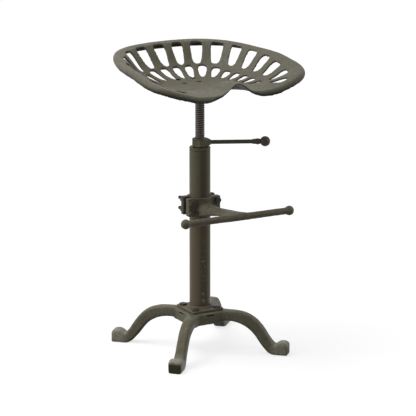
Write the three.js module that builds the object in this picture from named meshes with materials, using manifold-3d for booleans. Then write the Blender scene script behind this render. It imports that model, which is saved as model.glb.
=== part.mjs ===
// Tractor seat stool: a slotted cast iron seat on a screw that winds up and down in a steel column, a
// locking nut with a ball lever, a footrest clamped round the column, and a cast base with four legs.
// Millimetres, +Z up, with the origin on the floor under the middle of the stool. The front, where the
// footrest and the seat's notch are, is -Y.
import * as THREE from "three";
import { mergeVertices } from "three/addons/utils/BufferGeometryUtils.js";
import Module from "manifold-3d";

// Driving dimensions
const clearance = 0.3; // between pieces that touch
const overrun = 6; // how far a cutting shape passes the face that it cuts
const fullTurn = 2 * Math.PI;

const tubeRadius = 24;
const tubeWall = 3.2;
const tubeTop = 468;

const hubHalfSide = 49;
const hubTop = 94;
const hubHeight = 22;
const hubBevel = 4;
const hubCorner = 16;
const socketRadius = 5.5;
const socketReach = 45.5;
const socketDepth = 9;

const legReach = 209; // from the column's axis to the toe's end
const legWidth = 25;
const legDepth = 28.5;
const toeWidth = 31;
const toeHeight = 32;
const soleFlat = 1.2; // how much of the round sole is flattened on the floor

const plateHalfSide = 40;
const plateHeight = 5.5;
const plateBevel = 1;
const plateCorner = 4;
const weld = { size: 4.5, root: 2.25 }; // the bead stands on the plate and reaches into it

const baseBolt = { radius: 5, acrossFlats: 17, head: 6.4, nut: 8, reach: 40 };
const clampBolt = { radius: 4, acrossFlats: 13, head: 5.5, nut: 6.5 };
const seatBolt = { radius: 3, headRadius: 5.6, head: 3.2, acrossFlats: 10, nut: 5 };
const boltPlay = 0.4; // between a bolt's shank and its hole
const threadShow = 3; // how far a bolt's end stands out of its nut
const clampThreadShow = 15; // the clamp's bolts are longer than they need be

const screwRadius = 11;
const screwPitch = 5;
const threadDepth = 1.6;
const screwTop = 597;
const screwLength = 250;
const screwPlay = 0.6; // between the thread's crest and a smooth bore
const threadSides = 10;

const columnNut = { ring: 6.7, spigot: 26, bevel: 1.6, spigotPlay: 0.5 };
const guide = { height: 8, play: 0.8 };
const guideBolt = { radius: 4, acrossFlats: 13, head: 5.5, length: 22 };

const leverNut = { acrossFlats: 32, height: 18.5, bevel: 1.5 };
const leverHeading = -25.8; // degrees from +X, as the lever stands when it is locked
const leverReach = 147.7; // from the column's axis to the ball's centre
const leverRodRadius = 4.2;
const leverBallRadius = 11.7;
const leverNeck = { start: 29, widest: 16, end: 9 }; // places on the neck, back from the ball's centre
const leverNeckRadii = { start: 5.4, widest: 7.1, end: 6 };
const leverBoss = { root: 9, tip: 6, reach: 25 };
const leverBury = 8; // how deep the rod sits in its boss and in the ball's neck

const footrestHeading = -1.5; // degrees that the footrest is turned about the column
const footrestHeight = 340; // the clamp's middle
const clampHeight = 41.5;
const clampHalfWidth = 40.8;
const clampBoltAcross = 32.5;
const clampBoltUp = 12;
const clampFront = { near: 7.9, far: 24.3 }; // the front half's two faces, in front of the axis
const clampRear = { near: 2.3, far: 16.4 };
const clampWrap = 6; // the wall of both halves round the column
const clampCorner = 3.5;
const clampBevel = 1.2;
const clampBite = 0.3; // between the clamp's bore and the column

const barReach = 181; // in front of the column's axis
const barHeight = 351;
const barSpan = 260; // between the centres of the two balls
const barRadius = 7.7;
const barMiddleRadius = 8.2;
const barBallRadius = 11.1;

const seatRearReach = 196; // from the outline's centre to the rear of the rim
const seatCentreSetback = 16; // the outline's centre lies this far in front of the screw
const seatFloor = 615;
const seatRise = 73; // from the pan's floor to the crest of the rim at the rear
const seatThickness = 5;
const rimRoll = 8;
const rimSkirt = 2.5;
const outerSlots = 18;
const innerSlots = 15;
const slotPitch = 15.75; // degrees
const seatSteps = 52;
const rollSteps = 2;

const socketFlange = { halfWidth: 31, front: 26, rear: 80, height: 6, corner: 10, bevel: 1 };
const seatPad = 2.5; // the flat pad under the pan that the socket's flange is bolted to
const socketBoss = { top: 18, bottom: 13, bottomHeight: 578, collar: 3 };
const seatBoltAcross = 19;
const seatBoltRows = [36, 66]; // behind the screw's axis
const crossPin = { radius: 2.5, show: 1 };

// The seat's rim: degrees from the rear, reach as a share of the rear reach, crest as a share of the rise
const rimShares = [
  [0, 1, 1],
  [35, 1.085, 0.948],
  [70, 1.0, 0.856],
  [100, 1.032, 0.767],
  [125, 1.158, 0.538],
  [145, 0.978, 0.23],
  [160, 0.808, 0.205],
  [170, 0.772, 0.466],
  [180, 0.72, 0.575],
];
// The pan's profile from the middle to the rim: share of the reach, share of the crest's height at the rear
// and sides, and the same at the front, where the pan swells up to the notch
const panShares = [
  [0.16, 0, 0.03],
  [0.3, 0.01, 0.22],
  [0.49, 0.09, 0.66],
  [0.6, 0.22, 0.82],
  [0.71, 0.43, 0.93],
  [0.79, 0.72, 0.98],
  [0.86, 0.97, 1],
];
const panTurnHeading = { from: 98, to: 152 }; // degrees over which one profile turns into the other
// Slot ends as shares of the seat's reach, and slot widths as shares of the pitch
const outerSlotShares = { start: 0.685, end: 0.885, narrow: 0.44, wide: 0.6, square: 3.2, points: 16 };
const innerSlotShares = { start: 0.445, end: 0.665, narrow: 0.36, wide: 0.72, square: 2.8, points: 14 };

// A leg from the hub to the toe: share of the reach, height as a share of the hub's top, slope in degrees,
// depth as a share of the leg's depth, width as a share of the leg's width
const legShares = [
  [0.14, 0.901, 0, 0.86, 1.24],
  [0.3, 0.904, -1, 0.86, 1.12],
  [0.4, 0.896, -4, 0.88, 1.02],
  [0.51, 0.835, -20, 0.98, 0.98],
  [0.585, 0.741, -34, 1.03, 0.95],
  [0.64, 0.625, -46, 1.02, 0.94],
  [0.692, 0.473, -54, 0.99, 0.94],
  [0.734, 0.333, -57, 0.98, 0.96],
  [0.771, 0.234, -48, 1.04, 1.02],
  [0.806, 0.178, -25, 1.12, 1.1],
  [0.85, 0.157, -3, 1.05, 1.18],
];
// The toe: share of the reach, height and depth as shares of the toe's height, width as a share of its width
const toeShares = [
  [0.902, 0.49, 1.02, 1],
  [0.944, 0.51, 0.98, 1],
  [0.976, 0.53, 0.78, 0.98],
  [0.995, 0.54, 0.42, 0.9],
];
// The footrest's arm: share of the bar's reach, half width and half height as shares of the clamp's height,
// and height as a share of the way from the root's height to the bar's
const armShares = [
  [0.13, 0.5, 0.37, 0],
  [0.2, 0.46, 0.345, 0.06],
  [0.28, 0.37, 0.31, 0.2],
  [0.42, 0.29, 0.25, 0.42],
  [0.58, 0.28, 0.215, 0.66],
  [0.73, 0.36, 0.2, 0.86],
  [0.85, 0.54, 0.19, 0.95],
  [0.93, 0.84, 0.18, 1],
  [1.0, 1.22, 0.14, 1],
];
const armRootDrop = 7.5; // from the clamp's middle down to the arm's middle at its root
// Where the bar's swelling starts and where it is full, and how far a weld bead's face bulges
const barSwellShares = { start: 0.45, full: 0.15 };
const weldBulgeShare = 0.6;

// Derived places
const footrestTurn = Math.abs(THREE.MathUtils.degToRad(footrestHeading));
const barEndReach = barReach * Math.cos(footrestTurn) + (barSpan / 2) * Math.sin(footrestTurn);
const seatRear = seatRearReach - seatCentreSetback;
const columnPlace = (barEndReach + barBallRadius - seatRear) / 2; // behind the middle of the stool
const seatCrestHigh = seatFloor + seatRise;
const plateBottom = hubTop + clearance;
const plateTop = plateBottom + plateHeight;
const tubeBottom = plateTop + clearance;
const nutRingBottom = tubeTop + clearance;
const nutRingTop = nutRingBottom + columnNut.ring;
const spigotBottom = nutRingBottom - columnNut.spigot;
const leverNutBottom = nutRingTop + clearance;
const leverNutTop = leverNutBottom + leverNut.height;
const leverHeight = (leverNutBottom + leverNutTop) / 2;
const screwBottom = screwTop - screwLength;
const screwBore = screwRadius + screwPlay;
const seatPadBottom = seatFloor - seatThickness - seatPad;
const socketFlangeTop = seatPadBottom - clearance;
const socketFlangeBottom = socketFlangeTop - socketFlange.height;
const crossPinHeight = (screwTop + socketBoss.bottomHeight) / 2;
const seatBoltSeat = seatFloor - seatBolt.head;
const seatBoltPlaces = seatBoltRows.flatMap((y) => [-seatBoltAcross, seatBoltAcross].map((x) => [x, y]));

const castIron = { color: 0x57534a, roughness: 0.55, metalness: 0.75 };
const steelTube = { color: 0x5d594f, roughness: 0.45, metalness: 0.8 };
const boltSteel = { color: 0x37352f, roughness: 0.5, metalness: 0.85 };

const wasm = await Module();
wasm.setup();

// Solids: a closed geometry becomes a manifold solid, and a solid becomes a named mesh
function solidOf(geometry) {
  const bare = geometry.clone();
  bare.deleteAttribute("normal");
  bare.deleteAttribute("uv");
  const merged = mergeVertices(bare, 1e-4);
  const mesh = new wasm.Mesh({
    numProp: 3,
    vertProperties: merged.attributes.position.array,
    triVerts: new Uint32Array(merged.index.array),
  });
  return new wasm.Manifold(mesh);
}

function join(...solids) {
  return solids.reduce((whole, next) => whole.add(next));
}

// Every piece is made about the column's axis, and the whole stands with its middle over the origin
const stool = new THREE.Group();
stool.position.y = columnPlace;

function addPiece(name, solid, look) {
  const mesh = solid.getMesh();
  const geometry = new THREE.BufferGeometry();
  geometry.setAttribute("position", new THREE.BufferAttribute(mesh.vertProperties, 3));
  geometry.setIndex(new THREE.BufferAttribute(mesh.triVerts, 1));
  geometry.computeVertexNormals();
  const piece = new THREE.Mesh(geometry, new THREE.MeshStandardMaterial(look));
  piece.name = name;
  stool.add(piece);
  return piece;
}

// A turned piece: points are [radius, height], and the outline closes on itself or on the axis
function turned(points, segments) {
  const outline = points.map(([radius, height]) => new THREE.Vector2(radius, height));
  const lathe = new THREE.LatheGeometry(outline, segments);
  return solidOf(lathe.rotateX(Math.PI / 2));
}

function rod(radius, bottom, top, segments) {
  const outline = [
    [0, bottom],
    [radius, bottom],
    [radius, top],
    [0, top],
  ];
  return turned(outline, segments);
}

// A rod along +X from one place to another
function rodAlongX(radius, from, to, segments) {
  return rod(radius, from, to, segments).rotate([0, 90, 0]);
}

// A shape in the XY plane raised from bottom to top, with its edges bevelled
function raised(shape, bottom, top, bevel, curveSegments) {
  const options = {
    depth: top - bottom - 2 * bevel,
    bevelEnabled: bevel > 0,
    bevelThickness: bevel,
    bevelSize: bevel,
    bevelOffset: -bevel,
    bevelSegments: 1,
    curveSegments,
  };
  return solidOf(new THREE.ExtrudeGeometry(shape, options).translate(0, 0, bottom + bevel));
}

function roundedRectangle(left, right, front, rear, corner) {
  const shape = new THREE.Shape();
  shape.moveTo(left + corner, front);
  shape.lineTo(right - corner, front);
  shape.absarc(right - corner, front + corner, corner, -Math.PI / 2, 0, false);
  shape.lineTo(right, rear - corner);
  shape.absarc(right - corner, rear - corner, corner, 0, Math.PI / 2, false);
  shape.lineTo(left + corner, rear);
  shape.absarc(left + corner, rear - corner, corner, Math.PI / 2, Math.PI, false);
  shape.lineTo(left, front + corner);
  shape.absarc(left + corner, front + corner, corner, Math.PI, 1.5 * Math.PI, false);
  return shape;
}

function hexagon(acrossFlats) {
  const sides = 6;
  const corner = acrossFlats / 2 / Math.cos(Math.PI / sides);
  const points = Array.from({ length: sides }, (_, i) => {
    const angle = ((i + 0.5) * fullTurn) / sides;
    return new THREE.Vector2(corner * Math.cos(angle), corner * Math.sin(angle));
  });
  return new THREE.Shape(points);
}

// A skin through rings of points that all have the same count, closed by a flat fan at each end
function lofted(rings) {
  const count = rings[0].length;
  const positions = rings.flat().flatMap((point) => point.toArray());
  const faces = [];
  for (let row = 0; row < rings.length - 1; row++) {
    for (let i = 0; i < count; i++) {
      const next = (i + 1) % count;
      const a = row * count + i;
      const b = row * count + next;
      const c = (row + 1) * count + next;
      const d = (row + 1) * count + i;
      faces.push(a, b, c, a, c, d);
    }
  }
  for (const row of [0, rings.length - 1]) {
    const centre = rings[row].reduce((sum, point) => sum.add(point), new THREE.Vector3());
    centre.divideScalar(count);
    const middle = positions.length / 3;
    positions.push(...centre.toArray());
    for (let i = 0; i < count; i++) {
      const here = row * count + i;
      const next = row * count + ((i + 1) % count);
      faces.push(...(row === 0 ? [middle, next, here] : [middle, here, next]));
    }
  }
  const geometry = new THREE.BufferGeometry();
  geometry.setAttribute("position", new THREE.Float32BufferAttribute(positions, 3));
  geometry.setIndex(faces);
  return solidOf(geometry);
}

// One ring of a loft: a rounded rectangle as a superellipse, given by its two half axes
function ring(centre, sideAxis, upAxis, squareness, count) {
  const power = 2 / squareness;
  return Array.from({ length: count }, (_, i) => {
    const angle = ((i + 0.5) * fullTurn) / count;
    const side = Math.sign(Math.cos(angle)) * Math.abs(Math.cos(angle)) ** power;
    const up = Math.sign(Math.sin(angle)) * Math.abs(Math.sin(angle)) ** power;
    return centre.clone().addScaledVector(sideAxis, side).addScaledVector(upAxis, up);
  });
}

// Fasteners, made along +Z with the underside of the head or nut at zero
function hexBolt(size, grip) {
  const head = raised(hexagon(size.acrossFlats), 0, size.head, size.head / 8, 1);
  return join(head, rod(size.radius, -grip, size.head / 2, 16));
}

function hexNut(size) {
  const body = raised(hexagon(size.acrossFlats), 0, size.nut, size.nut / 8, 1);
  return body.subtract(rod(size.radius + boltPlay / 2, -overrun, size.nut + overrun, 16));
}

// One leg, running out along +X from the column's axis
function leg() {
  const rings = [];
  const across = (width) => new THREE.Vector3(0, width / 2, 0);
  for (const [reach, height, slope, depth, width] of legShares) {
    const centre = new THREE.Vector3(reach * legReach, 0, height * hubTop);
    const tilt = THREE.MathUtils.degToRad(slope);
    const up = new THREE.Vector3(-Math.sin(tilt), 0, Math.cos(tilt)).multiplyScalar((depth * legDepth) / 2);
    rings.push(ring(centre, across(width * legWidth), up, 5, 12));
  }
  for (const [reach, height, depth, width] of toeShares) {
    const centre = new THREE.Vector3(reach * legReach, 0, height * toeHeight);
    const up = new THREE.Vector3(0, 0, (depth * toeHeight) / 2);
    rings.push(ring(centre, across(width * toeWidth), up, 5, 12));
  }
  for (const point of rings.flat()) {
    point.z = Math.max(point.z - soleFlat, 0);
  }
  return lofted(rings);
}

// The base casting: a hub with four legs, bored for the plate's bolts, with a round socket on each side
function baseCasting() {
  const hubShape = roundedRectangle(-hubHalfSide, hubHalfSide, -hubHalfSide, hubHalfSide, hubCorner);
  let casting = raised(hubShape, hubTop - hubHeight, hubTop, hubBevel, 3);
  for (let quarter = 0; quarter < 4; quarter++) {
    casting = casting.add(leg().rotate([0, 0, 45 + 90 * quarter]));
  }
  // the legs' roots are faced off level with the hub's top
  casting = casting.subtract(rod(hubHalfSide + legWidth, hubTop, hubTop + legDepth, 24));
  for (let quarter = 0; quarter < 4; quarter++) {
    const bore = rod(baseBolt.radius + boltPlay, 0, hubTop + overrun, 16);
    const socket = rod(socketRadius, hubTop - socketDepth, hubTop + overrun, 16);
    casting = casting.subtract(bore.translate([baseBolt.reach, 0, 0]).rotate([0, 0, 45 + 90 * quarter]));
    casting = casting.subtract(socket.translate([socketReach, 0, 0]).rotate([0, 0, 90 * quarter]));
  }
  return casting;
}
addPiece("base_casting", baseCasting(), castIron);

// The column: a square plate bolted to the hub, a tube welded on it, and a nut in the tube's top
function weldBead() {
  const inner = tubeRadius + clearance;
  const bottom = plateTop - weld.root;
  const size = weld.root + weld.size;
  const bulge = size * weldBulgeShare;
  const outline = [
    [inner, bottom],
    [inner + size, bottom],
    [inner + bulge, bottom + bulge],
    [inner, bottom + size],
    [inner, bottom],
  ];
  return turned(outline, 32);
}

function basePlate() {
  const side = plateHalfSide;
  const shape = roundedRectangle(-side, side, -side, side, plateCorner);
  let plate = raised(shape, plateBottom, plateTop, plateBevel, 3).add(weldBead());
  for (let quarter = 0; quarter < 4; quarter++) {
    const bore = rod(baseBolt.radius + boltPlay, plateBottom - overrun, plateTop + overrun, 16);
    plate = plate.subtract(bore.translate([baseBolt.reach, 0, 0]).rotate([0, 0, 45 + 90 * quarter]));
  }
  return plate;
}
addPiece("base_plate", basePlate(), castIron);

const tubeOutline = [
  [tubeRadius - tubeWall, tubeBottom],
  [tubeRadius, tubeBottom],
  [tubeRadius, tubeTop],
  [tubeRadius - tubeWall, tubeTop],
  [tubeRadius - tubeWall, tubeBottom],
];
addPiece("column_tube", turned(tubeOutline, 40), steelTube);

const spigotRadius = tubeRadius - tubeWall - columnNut.spigotPlay;
const nutOutline = [
  [screwBore, spigotBottom],
  [spigotRadius, spigotBottom],
  [spigotRadius, nutRingBottom],
  [tubeRadius, nutRingBottom],
  [tubeRadius, nutRingTop - columnNut.bevel],
  [tubeRadius - columnNut.bevel, nutRingTop],
  [screwBore, nutRingTop],
  [screwBore, spigotBottom],
];
addPiece("column_nut", turned(nutOutline, 40), castIron);

// Each plate bolt comes up against a nut under the hub, where the leg's root is flat
const [, rootShare, , rootDepthShare] = legShares[0];
const legRootBottom = rootShare * hubTop - soleFlat - (rootDepthShare * legDepth) / 2;
const rootFace = Math.min(legRootBottom, hubTop - hubHeight) - clearance;
function baseBoltPlace(quarter, height) {
  const angle = ((quarter + 0.5) * fullTurn) / 4;
  return [baseBolt.reach * Math.cos(angle), baseBolt.reach * Math.sin(angle), height];
}
const corners = ["rear_right", "rear_left", "front_left", "front_right"];
corners.forEach((corner, quarter) => {
  const headBottom = plateTop + clearance;
  const grip = headBottom - rootFace + baseBolt.nut + threadShow;
  const bolt = hexBolt(baseBolt, grip).translate(baseBoltPlace(quarter, headBottom));
  const nut = hexNut(baseBolt).translate(baseBoltPlace(quarter, rootFace - baseBolt.nut));
  addPiece("base_bolt_" + corner, bolt, boltSteel);
  addPiece("base_nut_" + corner, nut, boltSteel);
});

// The screw: its thread is a helix of roots and crests round the axis, cut square at both ends
function threadedRod(bottom, top) {
  const around = threadSides;
  const rows = 2 * Math.ceil((top - bottom) / screwPitch + 3);
  const start = bottom - 1.5 * screwPitch;
  const positions = [];
  for (let row = 0; row <= rows; row++) {
    const radius = screwRadius - (row % 2) * threadDepth;
    for (let i = 0; i < around; i++) {
      const angle = (i * fullTurn) / around;
      const height = start + screwPitch * (row / 2 + i / around);
      positions.push(radius * Math.cos(angle), radius * Math.sin(angle), height);
    }
  }
  const at = (row, i) => (i < around ? row * around + i : (row + 2) * around);
  const faces = [];
  for (let row = 0; row < rows - 2; row++) {
    for (let i = 0; i < around; i++) {
      const [a, b, c, d] = [at(row, i), at(row, i + 1), at(row + 1, i + 1), at(row + 1, i)];
      faces.push(a, b, c, a, c, d);
    }
  }
  const close = (row, height, facingUp) => {
    const edge = Array.from({ length: around + 1 }, (_, i) => at(row, i));
    edge.push(at(row + 1, 0));
    const middle = positions.length / 3;
    positions.push(0, 0, height);
    edge.forEach((here, i) => {
      const next = edge[(i + 1) % edge.length];
      faces.push(...(facingUp ? [middle, here, next] : [middle, next, here]));
    });
  };
  close(0, start, false);
  close(rows - 2, start + screwPitch * (rows / 2), true);
  const geometry = new THREE.BufferGeometry();
  geometry.setAttribute("position", new THREE.Float32BufferAttribute(positions, 3));
  geometry.setIndex(faces);
  return solidOf(geometry).intersect(rod(screwRadius + overrun, bottom, top, 24));
}

function liftingScrew() {
  const core = screwRadius - threadDepth;
  const shankBottom = socketBoss.bottomHeight - screwPitch;
  const thread = threadedRod(screwBottom, shankBottom + screwPitch / 2);
  const shank = rod(core, shankBottom, screwTop, 24);
  const tappedTop = screwBottom + guideBolt.length - guide.height + threadShow;
  const tapped = rod(guideBolt.radius + boltPlay / 2, screwBottom - overrun, tappedTop, 16);
  const pinHole = rodAlongX(crossPin.radius + clearance, -screwRadius - overrun, screwRadius + overrun, 12);
  return join(thread, shank).subtract(tapped).subtract(pinHole.translate([0, 0, crossPinHeight]));
}
addPiece("lifting_screw", liftingScrew(), castIron);

// The stop at the screw's foot: a round guide that slides in the tube, held by a bolt up into the screw
const guideTop = screwBottom - clearance;
const guideBottom = guideTop - guide.height;
const guideRadius = tubeRadius - tubeWall - guide.play;
const guideBore = guideBolt.radius + boltPlay;
const guideOutline = [
  [guideBore, guideBottom],
  [guideRadius, guideBottom],
  [guideRadius, guideTop],
  [guideBore, guideTop],
  [guideBore, guideBottom],
];
addPiece("screw_guide", turned(guideOutline, 32), boltSteel);
const guideBoltSolid = hexBolt(guideBolt, guideBolt.length).rotate([180, 0, 0]);
addPiece("guide_bolt", guideBoltSolid.translate([0, 0, guideBottom - clearance]), boltSteel);

// The locking lever: a hexagonal nut with a tapered boss on one flat, a rod and a ball with a flared neck
const leverFlat = leverNut.acrossFlats / 2;
function placeLever(solid) {
  return solid.translate([0, 0, leverHeight]).rotate([0, 0, leverHeading]);
}

function leverNutSolid() {
  const body = raised(hexagon(leverNut.acrossFlats), leverNutBottom, leverNutTop, leverNut.bevel, 1);
  const bossOutline = [
    [0, leverFlat / 2],
    [leverBoss.root, leverFlat / 2],
    [leverBoss.root, leverFlat],
    [leverBoss.tip, leverBoss.reach],
    [0, leverBoss.reach],
  ];
  const boss = turned(bossOutline, 20).rotate([0, 90, 0]).translate([0, 0, leverHeight]);
  const blind = rodAlongX(leverRodRadius + clearance, leverBoss.reach - leverBury, leverReach, 20);
  const bore = rod(screwBore, leverNutBottom - overrun, leverNutTop + overrun, 24);
  return join(body, boss).subtract(bore).subtract(blind.translate([0, 0, leverHeight]));
}
addPiece("lever_nut", leverNutSolid().rotate([0, 0, leverHeading]), castIron);

const rodStart = leverBoss.reach - leverBury + clearance;
const rodEnd = leverReach - leverNeck.start + leverBury - clearance;
addPiece("lever_rod", placeLever(rodAlongX(leverRodRadius, rodStart, rodEnd, 16)), castIron);

function leverBallSolid() {
  const ball = solidOf(new THREE.SphereGeometry(leverBallRadius, 16, 12)).translate([leverReach, 0, 0]);
  const neckStart = leverReach - leverNeck.start;
  const neckOutline = [
    [0, neckStart],
    [leverNeckRadii.start, neckStart],
    [leverNeckRadii.widest, leverReach - leverNeck.widest],
    [leverNeckRadii.end, leverReach - leverNeck.end],
    [0, leverReach - leverNeck.end],
  ];
  const neck = turned(neckOutline, 20).rotate([0, 90, 0]);
  const blind = rodAlongX(leverRodRadius + clearance, neckStart - overrun, neckStart + leverBury, 20);
  return join(ball, neck).subtract(blind);
}
addPiece("lever_ball", placeLever(leverBallSolid()), castIron);

// The footrest: a front casting of clamp half, arm and bar, a rear clamp half, and four bolts
const clampBottom = footrestHeight - clampHeight / 2;
const clampTop = footrestHeight + clampHeight / 2;
const clampBore = tubeRadius + clampBite;
const clampHoles = [-1, 1].flatMap((side) => [-1, 1].map((up) => [side, up]));

function clampHole(side, up) {
  const hole = rod(clampBolt.radius + boltPlay, -clampHalfWidth, clampHalfWidth, 16).rotate([90, 0, 0]);
  return hole.translate([side * clampBoltAcross, 0, footrestHeight + up * clampBoltUp]);
}

function boreFor(clampHalf) {
  const bore = rod(clampBore, clampBottom - overrun, clampTop + overrun, 40);
  const bored = clampHalf.subtract(bore);
  return clampHoles.reduce((half, [side, up]) => half.subtract(clampHole(side, up)), bored);
}

function footrestArm() {
  const rings = armShares.map(([reach, halfWidth, halfHeight, rise]) => {
    const root = footrestHeight - armRootDrop;
    const centre = new THREE.Vector3(0, -reach * barReach, root + rise * (barHeight - root));
    const side = new THREE.Vector3(halfWidth * clampHeight, 0, 0);
    const up = new THREE.Vector3(0, 0, halfHeight * clampHeight);
    return ring(centre, side, up, 2.6, 12);
  });
  return lofted(rings);
}

function footrestBar() {
  const half = barSpan / 2;
  const swellStart = barSwellShares.start * half;
  const swellFull = barSwellShares.full * half;
  const outline = [
    [0, -half],
    [barRadius, -half],
    [barRadius, -swellStart],
    [barMiddleRadius, -swellFull],
    [barMiddleRadius, swellFull],
    [barRadius, swellStart],
    [barRadius, half],
    [0, half],
  ];
  const bar = turned(outline, 16).rotate([0, 90, 0]);
  const ball = solidOf(new THREE.SphereGeometry(barBallRadius, 16, 10));
  const whole = join(bar, ball.translate([-half, 0, 0]), ball.translate([half, 0, 0]));
  return whole.translate([0, -barReach, barHeight]);
}

// One clamp half's outside: two ears and the wall round the column, on one side of the gap between the halves
function clampHalf(near, far) {
  const ears = roundedRectangle(-clampHalfWidth, clampHalfWidth, near, far, clampCorner);
  const sideOf = Math.sign(far);
  const beyond = [near, sideOf * clampHalfWidth].sort((a, b) => a - b);
  const oneSide = roundedRectangle(-clampHalfWidth, clampHalfWidth, ...beyond, 0);
  const half = raised(oneSide, clampBottom, clampTop, 0, 1);
  const wall = rod(clampBore + clampWrap, clampBottom, clampTop, 40).intersect(half);
  return join(raised(ears, clampBottom, clampTop, clampBevel, 2), wall);
}
const placeFootrest = (solid) => solid.rotate([0, 0, footrestHeading]);

function footrestCasting() {
  const { near, far } = clampFront;
  return boreFor(join(clampHalf(-far, -near), footrestArm())).add(footrestBar());
}
addPiece("footrest_casting", placeFootrest(footrestCasting()), castIron);
addPiece("rear_clamp", placeFootrest(boreFor(clampHalf(clampRear.near, clampRear.far))), castIron);

clampHoles.forEach(([side, up]) => {
  const name = (up > 0 ? "upper" : "lower") + (side > 0 ? "_right" : "_left");
  const headFace = -clampFront.far - clearance;
  const nutFace = clampRear.far + clearance;
  const grip = nutFace - headFace + clampBolt.nut + clampThreadShow;
  const place = (along) => [side * clampBoltAcross, along, footrestHeight + up * clampBoltUp];
  const bolt = hexBolt(clampBolt, grip).rotate([90, 0, 0]).translate(place(headFace));
  const nut = hexNut(clampBolt).rotate([-90, 0, 0]).translate(place(nutFace));
  addPiece("clamp_bolt_" + name, placeFootrest(bolt), boltSteel);
  addPiece("clamp_nut_" + name, placeFootrest(nut), boltSteel);
});

// The seat casting
const rimAngles = rimShares.map(([angle]) => angle);

// A smooth value between the rim's stations, mirrored about the seat's middle
function rimValue(angle, column) {
  const folded = Math.abs(((angle + 540) % 360) - 180);
  const upper = Math.max(1, rimAngles.findIndex((station) => station >= folded));
  const station = (i) => {
    const last = rimShares.length - 1;
    if (i < 0) {
      return [-rimShares[-i][0], rimShares[-i][column]];
    }
    if (i > last) {
      return [360 - rimShares[2 * last - i][0], rimShares[2 * last - i][column]];
    }
    return [rimShares[i][0], rimShares[i][column]];
  };
  const [p0, p1, p2, p3] = [upper - 2, upper - 1, upper, upper + 1].map(station);
  const span = p2[0] - p1[0];
  const t = (folded - p1[0]) / span;
  const slope1 = ((p2[1] - p0[1]) / (p2[0] - p0[0])) * span;
  const slope2 = ((p3[1] - p1[1]) / (p3[0] - p1[0])) * span;
  const t2 = t * t;
  const t3 = t2 * t;
  const start = (2 * t3 - 3 * t2 + 1) * p1[1] + (t3 - 2 * t2 + t) * slope1;
  return start + (3 * t2 - 2 * t3) * p2[1] + (t3 - t2) * slope2;
}

const seatReach = (angle) => seatRearReach * rimValue(angle, 1);
const seatCrest = (angle) => seatFloor + seatRise * rimValue(angle, 2);

// The pan's top line at one heading, from the middle out over the rolled rim, as [radius, height]
function panLine(angle) {
  const reach = seatReach(angle);
  const crest = seatCrest(angle);
  const folded = Math.abs(((angle + 540) % 360) - 180);
  const front = THREE.MathUtils.smoothstep(folded, panTurnHeading.from, panTurnHeading.to);
  const line = panShares.map(([out, rearUp, frontUp]) => {
    const up = THREE.MathUtils.lerp(rearUp, frontUp, front);
    return [out * reach, seatFloor + up * (crest - seatFloor)];
  });
  const rollCentre = [reach - rimRoll, crest - rimRoll];
  for (let step = 0; step <= rollSteps; step++) {
    const turn = (step / rollSteps) * (Math.PI / 2);
    line.push([rollCentre[0] + rimRoll * Math.sin(turn), rollCentre[1] + rimRoll * Math.cos(turn)]);
  }
  line.push([reach, crest - rimRoll - rimSkirt]);
  return line;
}

// The same line moved inwards by the casting's thickness
function offsetLine(line, distance) {
  return line.map((point, i) => {
    const before = line[Math.max(0, i - 1)];
    const after = line[Math.min(line.length - 1, i + 1)];
    const run = after[0] - before[0];
    const rise = after[1] - before[1];
    const length = Math.hypot(run, rise);
    return [point[0] + (rise / length) * distance, point[1] - (run / length) * distance];
  });
}

function seatShell() {
  const rows = [];
  for (let step = 0; step < seatSteps; step++) {
    const angle = (step * 360) / seatSteps;
    const top = panLine(angle);
    const under = offsetLine(top, seatThickness).reverse();
    rows.push([...top, ...under]);
  }
  const count = rows[0].length;
  const positions = rows.flatMap((row, step) => {
    const heading = (step * fullTurn) / seatSteps;
    return row.flatMap(([radius, height]) => [
      radius * Math.sin(heading),
      radius * Math.cos(heading) - seatCentreSetback,
      height,
    ]);
  });
  const faces = [];
  for (let step = 0; step < seatSteps; step++) {
    const here = step * count;
    const next = ((step + 1) % seatSteps) * count;
    for (let i = 0; i < count - 1; i++) {
      faces.push(here + i, next + i + 1, here + i + 1, here + i, next + i, next + i + 1);
    }
  }
  const topMiddle = positions.length / 3;
  positions.push(0, -seatCentreSetback, seatFloor);
  positions.push(0, -seatCentreSetback, seatFloor - seatThickness);
  for (let step = 0; step < seatSteps; step++) {
    const here = step * count;
    const next = ((step + 1) % seatSteps) * count;
    faces.push(topMiddle, next, here, topMiddle + 1, here + count - 1, next + count - 1);
  }
  const geometry = new THREE.BufferGeometry();
  geometry.setAttribute("position", new THREE.Float32BufferAttribute(positions, 3));
  geometry.setIndex(faces);
  return solidOf(geometry);
}

// A slot's plan outline: a rounded petal between two shares of the reach, wider at its outer end
function slotOutline(heading, shares) {
  const power = 2 / shares.square;
  const middle = (shares.start + shares.end) / 2;
  const half = (shares.end - shares.start) / 2;
  const outline = Array.from({ length: shares.points }, (_, i) => {
    const angle = ((i + 0.5) * fullTurn) / shares.points;
    const along = Math.sign(Math.cos(angle)) * Math.abs(Math.cos(angle)) ** power;
    const aside = Math.sign(Math.sin(angle)) * Math.abs(Math.sin(angle)) ** power;
    const width = (shares.narrow + shares.wide + along * (shares.wide - shares.narrow)) / 2;
    const turn = heading + (aside * width * slotPitch) / 2;
    const radius = (middle + along * half) * seatReach(turn);
    const radians = THREE.MathUtils.degToRad(turn);
    return new THREE.Vector2(radius * Math.sin(radians), radius * Math.cos(radians) - seatCentreSetback);
  });
  return new THREE.Shape(outline);
}

function slotCutters(count, shares) {
  return Array.from({ length: count }, (_, i) => {
    const heading = (i - (count - 1) / 2) * slotPitch;
    return raised(slotOutline(heading, shares), seatFloor - overrun, seatCrestHigh + overrun, 0, 1);
  });
}

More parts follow.
